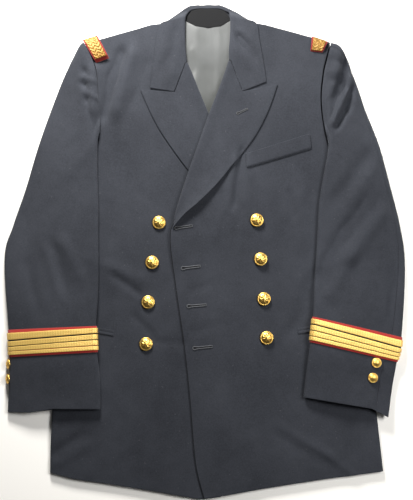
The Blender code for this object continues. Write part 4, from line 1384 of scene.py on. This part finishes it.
@dataclass
class Sleeve:
    """A sleeve laid flat: its upper and under cloth meet at seams beside the folds."""

    side: Side
    layers: Layers
    wardrobe: Wardrobe
    upper_columns: int = 30
    under_columns: int = 26
    rows: int = 130
    edge: float = 5.6
    corner_edge: float = 2.4
    corner_shift: float = 2.6
    floor_height: float = 1.1
    bulge: float = 5.0
    clear: float = 3.2
    ramp: Spot = (8.0, 34.0)
    back_lap: float = 1.9
    hollow: float = 3.6
    band_room: float = 3.6
    hem_drop: float = 2.0
    under_bow: float = 9.0
    head_slant: float = 0.25
    upper_fade: float = 2.4
    head_across: float = 2.0
    head_row: float = 0.55
    edge_start: float = 0.17
    least: float = 2.3
    seam_lap: float = 1.4
    top_lap: float = 2.6
    seam_rise: float = 1.1
    seam_drop: float = 9.0
    lap_fade: Spot = (6.0, 26.0)
    room_begins: Spot = (5.6, 6.7)
    room_ends: Spot = (8.2, 9.6)
    seam_inset: Spot = (7.0, 16.0)
    inset_rows: Spot = (4.5, 9.0)
    band_clear: float = 0.2
    cuff_rows: Spot = (8.4, 10.0)
    band_rows: Spot = (7.0, 8.0)
    stripe_room: float = 0.4
    armhole: List[Spot] = field(default_factory=list)

    def __post_init__(self) -> None:
        """Choose the side's tables and work out the armhole."""
        pick = self.side.pick
        self.table = pick(SLEEVE_RIGHT_ROWS, SLEEVE_LEFT_ROWS)
        self.side_rows = pick(FRONT_RIGHT_ROWS, FRONT_LEFT_ROWS)
        self.back_rows = pick(BACK_RIGHT_ROWS, BACK_LEFT_ROWS)
        self.cuff = pick(CUFF_RIGHT, CUFF_LEFT)
        self.wrap = self.side is Side.LEFT
        self.way = self.side.way
        last = len(self.side_rows) - 1
        corner = pick(8.9, 8.7)
        self.head_round = pick(3.2, 10.5)
        for step in range(17):
            spot = along(self.side_rows, corner + (last - corner) * step / 16)
            lap = self.seam_lap + self.top_lap * (step / 16) ** 3
            self.armhole.append((spot[2] - self.way * lap, spot[3]))

    def chord(self, row: float) -> Tuple[List[float], float]:
        """Give a row's two ends and its width."""
        ends = along(self.table, row)
        return ends, math.dist(ends[:2], ends[2:])

    def plan(self, row: float, across: float, top: bool) -> Spot:
        """Give the x and y of a point of the tube.

        Args:
            row: Place along the sleeve, counted in the table's rows.
            across: Share from the inner fold to the outer one.
            top: Whether it lies on the upper cloth.

        Returns:
            The x and y.
        """
        ends = self.chord(row)[0]
        spot = between(ends[:2], ends[2:], across)
        if top:
            spot = follow(spot, self.armhole, across, max(0.0, 1 - row / self.upper_fade))
        x, y = follow(spot, self.cuff, across, smooth_step(*self.cuff_rows, row))
        corner = min(row * 2, max(0.0, 1 - (row - 0.5) / 3)) * (1 - smooth_step(0, 0.4, across))
        x += self.way * self.corner_shift * corner
        if row < 1:
            swell = across ** self.head_across * math.sin(math.pi * row ** self.head_row)
            x += self.way * self.head_round * swell
        if not top:
            bow = math.sin(math.pi * across ** 0.6) ** 2
            x += self.way * self.under_bow * max(0.0, 1 - row) * bow
            y -= self.hem_drop * smooth_step(9, 10, row) * bow
        return x, y

    def slant(self, row: float) -> float:
        """Sine of the angle at which the rows meet the inner fold."""
        return self.head_slant + (1 - self.head_slant) * smooth_step(0.5, 5, row)

    def floor(self, x: float, y: float, row: float) -> float:
        """Middle of the under cloth: over the body inside its side fold, then down."""
        out = (x - table_x(self.side_rows, y - self.seam_drop, 2, 3)) * self.way
        out_back = (x - table_x(self.back_rows, y - self.seam_drop, 2, 3)) * self.way
        over = self.layers.body(x, y) + self.clear
        room = smooth_step(*self.room_begins, row) * (1 - smooth_step(*self.room_ends, row))
        room *= self.band_room
        low = self.floor_height + max(room, self.back_lap * (1 - smooth_step(*self.lap_fade, out_back)))
        return low + (over + room * 0.9 - low) * (1 - smooth_step(*self.ramp, out))

    def point(self, row: float, across: float, top: bool, extra: float = 0.0) -> Point:
        """Give a point of the tube.

        Args:
            row: Place along the sleeve, counted in the table's rows.
            across: Share from the inner fold to the outer one.
            top: Whether it lies on the upper cloth.
            extra: Distance outward from the cloth's middle.

        Returns:
            The point.
        """
        x, y = self.plan(row, across, top)
        ends, width = self.chord(row)
        lows = (self.floor(*ends[:2], row), self.floor(*ends[2:], row))
        near = 0 if across < 0.5 else 1
        distance = (1 - across) * width if near else across * width * self.slant(row)
        full = max(round_off(distance), self.edge_start)
        begun = smooth_step(0, 1.5, row) if near == 0 else 1.0
        edge = self.corner_edge + (self.edge - self.corner_edge) * begun
        middle = lows[near] + edge / 2
        full = 1 - (1 - full) * begun
        if top:
            crown = lows[0] + (lows[1] - lows[0]) * across + edge
            crown += self.bulge * math.sin(math.pi * across)
            inside = smooth_step(0.0, 0.18, min(across, 1 - across))
            crown += self.layers.sleeve_creases.rise(x, y) * inside
            low = self.floor(x, y, row) + self.hollow
            if crown < low + 2:
                crown += (low + 2 - crown) ** 2 / 8 if crown > low - 2 else low - crown
            seam = self.layers.body(x, y) + self.seam_rise
            corner = 1.2 * (1 - smooth_step(0.0, 0.2, across))
            crown = seam + (crown - seam) * smooth_step(0, 1.2, row + corner + 1.2 * across ** 4)
            if row < 3:
                head = self.layers.head_creases.rise(x, y) * smooth_step(0.0, 0.1, row)
                head *= smooth_step(0.0, 0.08, min(across, 1.02 - across))
                crown = max(crown + head, min(crown, self.floor(x, y, row) + self.least))
            half = crown - middle
            z = middle + half * full
        else:
            half = middle - self.floor(x, y, row)
            z = middle - half * full
        if extra:
            out = math.sqrt(1 - full * full) / FOLD_RADIUS
            up = full / max(abs(half), 0.5)
            norm = math.hypot(out, up)
            z += extra * up / norm * (1 if top else -1)
            x += extra * out / norm * self.way * (1 if near else -1)
        return x, y, z

    def shares(self, middle: int, row: float, seam: float, slant: float) -> List[float]:
        """Space the columns across the tube.

        Args:
            middle: Number of even steps.
            row: Place along the sleeve.
            seam: Distance of a seam inside the outer fold, or 0 for none.
            slant: Sine of the rows' angle at the inner fold.

        Returns:
            Shares across the tube.
        """
        width = self.chord(row)[1]
        start = [value / width / slant for value in EDGE_STEPS]
        end = [1 - seam / width] if seam else [1 - value / width for value in reversed(EDGE_STEPS)]
        step = (end[0] - start[-1]) / middle
        return start + [start[-1] + step * index for index in range(1, middle)] + end

    def seam_distance(self, row: float) -> float:
        """How far the visible back seam of the left sleeve runs inside the outer fold."""
        least, more = self.seam_inset
        return least + more * smooth_step(*self.inset_rows, row) if self.wrap else 0.0

    def upper_place(self, column: int, row: int) -> Point:
        """Lay a point of the upper cloth."""
        position = row / self.rows * (len(self.table) - 1)
        shares = self.shares(self.upper_columns, position, self.seam_distance(position),
                             self.slant(position))
        return self.point(position, shares[column], True)

    def under_place(self, column: int, row: int) -> Point:
        """Lay a point of the under cloth, which may wrap up to the visible seam."""
        position = row / self.rows * (len(self.table) - 1)
        shares = self.shares(self.under_columns, position, 0, self.slant(position))
        if column < len(shares):
            return self.point(position, shares[column], False)
        width = self.chord(position)[1]
        reach = self.seam_distance(position) - GAP
        distances = [*EDGE_STEPS[1:], reach]
        return self.point(position, 1 - distances[column - len(shares)] / width, True)

    def build_cloth(self) -> None:
        """Make both cloths of the sleeve."""
        label = self.side.value
        steps = len(EDGE_STEPS)
        upper_count = self.upper_columns + steps - 1 + (0 if self.wrap else steps - 1)
        upper = ClothSheet("sleeve_topside_" + label, upper_count, self.rows, self.upper_place,
                           self.wardrobe.cloth)
        upper.build("sleeve_upper_" + label, CUTS["upper sleeve"], "sleeve_underside_" + label)
        under_count = self.under_columns + 2 * (steps - 1) + (steps if self.wrap else 0)
        under = ClothSheet("sleeve_underside_" + label, under_count, self.rows, self.under_place,
                           self.wardrobe.cloth)
        under.build("sleeve_under_" + label, CUTS["under sleeve"], "front_panel_" + label, "floor")

    def ring(self, name: str, rows: Spot, middle: float, count: int, finish: Finish) -> ClothSheet:
        """Lay a closed band round the sleeve.

        Args:
            name: Piece's name.
            rows: First and last place along the sleeve.
            middle: Distance of its middle outside the sleeve's.
            count: Number of steps across the band.
            finish: Its finish.

        Returns:
            The sheet, not yet built.
        """
        shares = self.shares(RING_STEPS, rows[0], 0, 1.0)
        path = [(share, True) for share in shares] + [(share, False) for share in shares[-2:0:-1]]

        def place(column: int, row: int) -> Point:
            """Lay a point of the band."""
            share, top = path[column % len(path)]
            return self.point(rows[0] + (rows[1] - rows[0]) * row / count, share, top, middle)

        return ClothSheet(name, len(path), count, place, finish, LACE, closed=True, soft_edge=0.25)

    def build_band(self) -> None:
        """Make the felt band and its gold stripes."""
        label = self.side.value
        first, last = self.band_rows
        width = last - first
        inside = CLOTH / 2 + GAP + self.band_clear
        felt = "cuff_felt_" + label
        band = self.ring(felt, (first, last), inside + LACE / 2, 10, self.wardrobe.band)
        band.build("cuff_band_" + label, CUTS["cuff band"], "sleeve_topside_" + label)
        outside = inside + LACE + GAP + self.stripe_room + LACE / 2
        for number, (low, high) in enumerate(STRIPES, start=1):
            name = "cuff_lace_%s_%d" % (label, number)
            rows = (first + width * low, first + width * high)
            stripe = self.ring(name, rows, outside, 4, self.wardrobe.lace)
            stripe.build("cuff_stripe_%s_%d" % (label, number), Cut(0.30, *STRIPE_CUTS[number - 1]), felt)


def on_patch(corners: Sequence[Spot], across: float, up: float) -> Spot:
    """Find a point between four corners, which follow each other round a strip."""
    a, b, c, d = corners
    return between(between(a, b, across), between(d, c, across), up)


def patch(corners: Sequence[Spot], columns: int, rows: int,
          height: Callable[[float, float, float, float], float]) -> Place:
    """Lay a straight-sided strip between four corners.

    Args:
        corners: Corners in order round the strip.
        columns: Steps between the first two corners.
        rows: Steps up the strip.
        height: Height from x, y, share across and share up.

    Returns:
        The strip's place function.
    """
    def place(column: int, row: int) -> Point:
        """Lay a point of the strip."""
        across = column / columns
        up = row / rows
        x, y = on_patch(corners, across, up)
        return x, y, height(x, y, across, up)

    return place


def highest(height: Callable[[float, float], float], x: float, y: float, radius: float) -> float:
    """Find the highest cloth under a round piece.

    Args:
        height: Height of the cloth's middle.
        x: Centre's x.
        y: Centre's y.
        radius: Radius to look within.

    Returns:
        The highest height.
    """
    samples = [height(x, y)]
    for step in range(12):
        angle = step * math.pi / 6
        samples.append(height(x + radius * math.cos(angle), y + radius * math.sin(angle)))
    return max(samples)


@dataclass
class Pockets:
    """Breast welt and the jets of the lower pockets."""

    layers: Layers
    wardrobe: Wardrobe
    welt_lift: float = 0.7
    end_drop: float = 0.5
    seam_drop: float = 1.4
    jet_lift: float = 0.5
    slit_depth: float = 0.45
    slit_share: float = 0.1

    def build(self) -> None:
        """Make the strips."""
        layers = self.layers

        def on_chest(x: float, y: float, across: float, up: float) -> float:
            """Lie on the chest, lower at the two sewn ends and the seam."""
            end = min(across, 1 - across)
            drop = self.end_drop * (1 - smooth_step(0, 0.04, end))
            drop += self.seam_drop * smooth_step(0.86, 1.0, up)
            return layers.left_front(x, y) + CLOTH + GAP + self.welt_lift - drop

        place = patch(WELT, *WELT_GRID, on_chest)
        welt = ClothSheet("breast_welt_strip", *WELT_GRID, place, self.wardrobe.cloth, soft_edge=0.7)
        welt.build("breast_welt", CUTS["welt"], "front_panel_left")
        for side, x0, y0, x1, y1 in JETS:
            half = JET_WIDTH / 2
            corners = ((x0, y0 + half), (x1, y1 + half), (x1, y1 - half), (x0, y0 - half))

            def on_waist(x: float, y: float, _across: float, up: float) -> float:
                """Lie on the front, sunk along the slit in the middle."""
                sink = self.slit_depth * math.exp(-((up - 0.5) / self.slit_share) ** 2)
                return layers.body(x, y) + CLOTH / 2 + GAP + self.jet_lift - sink

            place = patch(corners, *JET_GRID, on_waist)
            jets = ClothSheet("pocket_jets_" + side.value, *JET_GRID, place, self.wardrobe.cloth, LACE,
                              soft_edge=0.3)
            jets.build("pocket_jet_" + side.value, CUTS["jet"], "front_panel_" + side.value)


@dataclass
class ShoulderLoop:
    """Gold lace on a red felt edging, arched over the shoulder."""

    side: Side
    layers: Layers
    wardrobe: Wardrobe
    arch: float = 2.4
    turn: float = 1.6
    roll: float = 3.0
    relief: float = 0.28
    block: float = 6.5
    lace_shares: Spot = (0.88, 0.80)
    lace_lift: float = 0.4

    def build(self) -> None:
        """Make the edging and the lace."""
        corners = self.side.pick(LOOP_RIGHT, LOOP_LEFT)
        middle = tuple(sum(point[axis] for point in corners) / 4 for axis in (0, 1))
        crown = max(highest(self.layers.body, x, y, 6) for x, y in corners + (middle,))
        rise = crown + CLOTH / 2 + GAP + LACE / 2 + 0.1
        label = self.side.value
        length = math.dist(corners[0], corners[3])
        width = math.dist(corners[0], corners[1])

        def strip(columns: int, rows: int, long_share: float, wide_share: float, level: float,
                  relief: float) -> Place:
            """Lay one layer of the loop."""
            def place(column: int, row: int) -> Point:
                """Lay a point of the layer."""
                up = 0.5 + (row / rows - 0.5) * long_share - (1 - long_share) * 0.4
                side = 0.5 + (column / columns - 0.5) * wide_share
                x, y = on_patch(corners, side, up)
                turned = (1 - smooth_step(0.0, 0.18, up)) * self.turn
                turned += self.roll * smooth_step(0.86, 1.0, up)
                z = rise + self.arch * math.sin(math.pi * up) + level - turned
                slant = abs(((column / columns) * 2) % 1 - 0.5) * 2
                wave = math.sin(2 * math.pi * (up * length / self.block + slant * 0.8))
                return x, y, z + relief * wave

            return place

        area = width * length * MM * MM
        flat = strip(*LOOP_FELT_GRID, 1.0, 1.0, 0.0, 0.0)
        edging = ClothSheet("loop_felt_" + label, *LOOP_FELT_GRID, flat, self.wardrobe.felt, LACE,
                            soft_edge=0.25)
        edging.build("loop_edging_" + label, Cut(0.03, 0.05, area * 0.95), "front_panel_" + label)
        raised = strip(*LOOP_LACE_GRID, *self.lace_shares, LACE + self.lace_lift, self.relief)
        lace = ClothSheet("loop_braid_" + label, *LOOP_LACE_GRID, raised, self.wardrobe.loop_lace, LACE,
                          soft_edge=0.25)
        lace.build("loop_lace_" + label, Cut(0.024, 0.046, area * 0.74), "loop_felt_" + label)


@dataclass
class GiltButton:
    """Domed shank button with a roped rim and a plain rosette.

    Each ring of its motif is height, lobes, middle and width, as shares of the radius.
    """

    name: str
    radius: float
    matrix: Matrix
    wardrobe: Wardrobe
    segments: int = 96
    rings: Tuple[Row, ...] = (
        (0.022, 32, 0.88, 0.05), (0.045, 8, 0.45, 0.16), (-0.02, 16, 0.45, 0.13), (0.03, 0, 0.0, 0.14),
    )
    profile: Tuple[Spot, ...] = (
        (0.0, 0.0), (0.45, 0.0), (0.90, 0.0), (0.97, 0.03), (1.0, 0.08), (1.0, 0.17), (0.985, 0.22),
        (0.95, 0.262), (0.90, 0.285), (0.86, 0.285), (0.82, 0.27), (0.79, 0.275), (0.74, 0.315),
        (0.68, 0.355), (0.61, 0.40), (0.54, 0.44), (0.46, 0.475), (0.38, 0.505), (0.30, 0.53),
        (0.22, 0.55), (0.15, 0.565), (0.08, 0.575), (0.0, 0.58),
    )

    def build(self) -> bpy.types.Object:
        """Spin the profile, raise its motif and put it in place."""
        bm = bmesh.new()
        verts = [bm.verts.new((self.radius * out, 0, self.radius * up)) for out, up in self.profile]
        edges = [bm.edges.new(pair) for pair in zip(verts, verts[1:])]
        bmesh.ops.spin(bm, geom=verts + edges, cent=(0, 0, 0), axis=(0, 0, 1), dvec=(0, 0, 0),
                       angle=2 * math.pi, steps=self.segments, use_merge=True, use_duplicate=False)
        bmesh.ops.remove_doubles(bm, verts=bm.verts, dist=0.001)
        for vert in bm.verts:
            out = math.hypot(vert.co.x, vert.co.y) / self.radius
            turn = math.atan2(vert.co.y, vert.co.x)
            if vert.co.z > 0.2 * self.radius:
                vert.co.z += self.radius * self.motif(out, turn)
        bmesh.ops.recalc_face_normals(bm, faces=bm.faces)
        bmesh.ops.transform(bm, matrix=self.matrix, verts=bm.verts)
        settle(bm)
        gilt = self.wardrobe.gilt
        return enrol(as_object("gilt_" + self.name, bm, gilt.material), gilt.slot, self.name)

    def motif(self, out: float, turn: float) -> float:
        """Height of the raised pattern.

        Args:
            out: Share of the radius.
            turn: Angle round the button.

        Returns:
            Height as a share of the radius.
        """
        return sum(height * math.cos(lobes * turn) * math.exp(-((out - middle) / width) ** 2)
                   for height, lobes, middle, width in self.rings)


@dataclass
class Buttons:
    """All buttons, each on the cloth that carries it."""

    layers: Layers
    wardrobe: Wardrobe
    sleeve_right: Sleeve
    sleeve_left: Sleeve
    radius: float = 11.0
    cuff_radius: float = 8.0
    edge_tilt: float = -62.0
    edge_inset: float = -1.1
    turn_step: float = 0.35
    edge_height: float = 7.6

    def build(self) -> List[bpy.types.Object]:
        """Make the front and cuff buttons."""
        made = []
        for number, x, y in FRONT_BUTTONS:
            z = highest(self.layers.body, x, y, self.radius + 4) + CLOTH / 2 + GAP
            turn = Matrix.Rotation(self.turn_step * number, 4, "Z")
            spot = Matrix.Translation((x, y, z)) @ turn
            made.append(GiltButton("button_front_%d" % number, self.radius, spot, self.wardrobe).build())
        for number, x, y in CUFF_BUTTONS_TOP:
            spot = Matrix.Translation((x, y, self.sleeve_top(self.sleeve_left, x, y) + GAP))
            made.append(GiltButton("button_cuff_%d" % number, self.cuff_radius, spot, self.wardrobe).build())
        for number, y in CUFF_BUTTONS_EDGE:
            x = self.sleeve_right.table[9][2] + self.edge_inset
            spot = Matrix.Translation((x, y, self.edge_height))
            spot = spot @ Matrix.Rotation(math.radians(self.edge_tilt), 4, "Y")
            made.append(GiltButton("button_cuff_%d" % number, self.cuff_radius, spot, self.wardrobe).build())
        return made

    def sleeve_top(self, sleeve: Sleeve, x: float, y: float) -> float:
        """Find the highest cloth of a sleeve under a cuff button.

        Args:
            sleeve: Sleeve that carries it.
            x: Button's x.
            y: Button's y.

        Returns:
            The top of the cloth there.
        """
        best = 0.0
        for row_step in range(61):
            for share_step in range(41):
                point = sleeve.point(7 + 3 * row_step / 60, share_step / 40, True)
                if math.hypot(point[0] - x, point[1] - y) < self.cuff_radius + 1.5:
                    best = max(best, point[2])
        return best + CLOTH / 2


@dataclass
class Buttonhole:
    """Keyhole buttonhole, corded round its slit in navy thread painted lighter than the cloth as its sheen.
    """

    name: str
    line: Row
    height: Callable[[float, float], float]
    wardrobe: Wardrobe
    half: float = 1.5
    eye: float = 2.7
    cord: float = 0.75

    def build(self) -> List[bpy.types.Object]:
        """Make the corded rim and the slit."""
        x0, y0, x1, y1 = self.line
        length = math.hypot(x1 - x0, y1 - y0)
        step_x = (x1 - x0) / length
        step_y = (y1 - y0) / length

        def spot(run: float, side: float, lift: float) -> Point:
            """Turn a distance along and beside the slit into a place."""
            x = x0 + step_x * run - step_y * side
            y = y0 + step_y * run + step_x * side
            return x, y, self.height(x, y) + CLOTH / 2 + lift

        outline = []
        for step in range(13):
            angle = math.radians(50 + 260 * step / 12)
            outline.append((self.eye + self.eye * math.cos(angle), self.eye * math.sin(angle)))
        runs = [2 * self.eye + (length - 2 * self.eye) * step / 8 for step in range(1, 9)]
        outline += [(run, -self.half) for run in runs] + [(run, self.half) for run in reversed(runs)]
        curve = bpy.data.curves.new(self.name, "CURVE")
        curve.dimensions = "3D"
        curve.bevel_depth = self.cord
        curve.bevel_resolution = 2
        spline = curve.splines.new("POLY")
        spline.points.add(len(outline) - 1)
        for point, (run, side) in zip(spline.points, outline):
            point.co = (*spot(run, side, 0.4), 1.0)
        spline.use_cyclic_u = True
        holder = bpy.data.objects.new(self.name, curve)
        mesh = bpy.data.meshes.new_from_object(holder)
        bm = bmesh.new()
        bm.from_mesh(mesh)
        bpy.data.objects.remove(holder)
        bpy.data.meshes.remove(mesh)
        bpy.data.curves.remove(curve)
        bmesh.ops.recalc_face_normals(bm, faces=bm.faces)
        settle(bm)
        thread = self.wardrobe.thread
        rim = enrol(as_object(self.name + "_cord", bm, thread.material), thread.slot)

        def slit_place(column: int, row: int) -> Point:
            """Lay a point of the slit."""
            run = self.eye * 0.6 + (length - self.eye * 0.9) * column / 20
            wide = self.eye * 0.75 if column < 3 else self.half * 0.6
            return spot(run, (row / 2 - 0.5) * 2 * wide, 0.12)

        bm = bmesh.new()
        bmesh.ops.create_grid(bm, x_segments=20, y_segments=2, size=1.0)
        for vert in bm.verts:
            vert.co = Vector(slit_place(round((vert.co.x + 1) * 10), round(vert.co.y + 1)))
        bmesh.ops.solidify(bm, geom=bm.faces, thickness=0.3)
        bmesh.ops.recalc_face_normals(bm, faces=bm.faces)
        settle(bm)
        dark = self.wardrobe.slit
        slit = enrol(as_object(self.name + "_slit", bm, dark.material), dark.slot)
        return [rim, slit]


# Lights: name, place in metres, side of the square in metres, watts, colour
LIGHTS = (
    ("window", (-0.22, 0.85, 0.47), 0.25, 27.0, (1.0, 0.99, 0.97)),
    ("far wall", (0.9, 0.15, 1.1), 0.6, 20.0, (1.0, 1.0, 1.0)),
    ("room", (0.5, 0.0, 2.3), 2.0, 2.0, (0.98, 0.99, 1.0)),
)


@dataclass
class Studio:
    """Pale floor, soft window light from above left, and the camera."""

    wardrobe: Wardrobe
    target: Point = (0.0033, -0.0076, 0.010)
    distance: float = 1.45
    elevation: float = 84.0
    lens: float = 63.65
    sky: float = 0.06

    def build(self) -> None:
        """Make the floor, the lights, the world and the camera."""
        bm = bmesh.new()
        bmesh.ops.create_grid(bm, x_segments=1, y_segments=1, size=3.0)
        floor = as_object("floor", bm, self.wardrobe.floor)
        for lamp in LIGHTS:
            self.light(*lamp)
        world = bpy.data.worlds.new("studio")
        bpy.context.scene.world = world
        world.use_nodes = True
        back = world.node_tree.nodes["Background"]
        back.inputs["Color"].default_value = (1.0, 1.0, 1.0, 1.0)
        back.inputs["Strength"].default_value = self.sky
        bpy.context.scene.view_settings.view_transform = "Standard"
        self.camera()

    def light(self, name: str, place: Point, size: float, watts: float, colour: Point) -> None:
        """Add an area light that faces the blazer.

        Args:
            name: Light's name.
            place: Its place in metres.
            size: Side of its square.
            watts: Power.
            colour: Colour.
        """
        lamp = bpy.data.lights.new(name, "AREA")
        lamp.shape = "SQUARE"
        lamp.size = size
        lamp.energy = watts
        lamp.color = colour
        thing = bpy.data.objects.new(name, lamp)
        thing.location = place
        thing.rotation_euler = (Vector(self.target) - Vector(place)).to_track_quat("-Z", "Y").to_euler()
        bpy.context.scene.collection.objects.link(thing)

    def camera(self) -> None:
        """Add the camera at the photograph's angle."""
        lens = bpy.data.cameras.new("camera")
        lens.lens = self.lens
        lens.sensor_width = 36.0
        thing = bpy.data.objects.new("camera", lens)
        angle = math.radians(self.elevation)
        offset = Vector((0, -math.cos(angle), math.sin(angle))) * self.distance
        thing.location = Vector(self.target) + offset
        thing.rotation_euler = (-offset).to_track_quat("-Z", "Y").to_euler()
        bpy.context.scene.collection.objects.link(thing)
        bpy.context.scene.camera = thing


def main() -> None:
    """Build the blazer and its setting."""
    logging.basicConfig(level=logging.INFO, format="%(name)s: %(message)s")
    wardrobe = Wardrobe()
    layers = Layers()
    Studio(wardrobe).build()
    sleeves = {}
    for side in Side:
        BackPanel(side, layers, wardrobe).build()
        FrontPanel(side, layers, wardrobe).build()
    for side in Side:
        Lapel(side, layers, wardrobe, lift=8.0 if side is Side.LEFT else 0.0).build()
        sleeves[side] = Sleeve(side, layers, wardrobe)
        sleeves[side].build_cloth()
        sleeves[side].build_band()
        ShoulderLoop(side, layers, wardrobe).build()
    Collar(layers, wardrobe).build()
    Pockets(layers, wardrobe).build()
    Buttons(layers, wardrobe, sleeves[Side.RIGHT], sleeves[Side.LEFT]).build()
    for number, line in enumerate(BUTTONHOLES, start=1):
        Buttonhole("buttonhole_%d" % number, line, layers.left_front, wardrobe).build()
    Buttonhole("buttonhole_lapel", LAPEL_BUTTONHOLE, lambda x, y: layers.left_front(x, y) + LAYER,
               wardrobe, half=1.1, eye=2.0, cord=0.6).build()


if __name__ == "__main__":
    main()
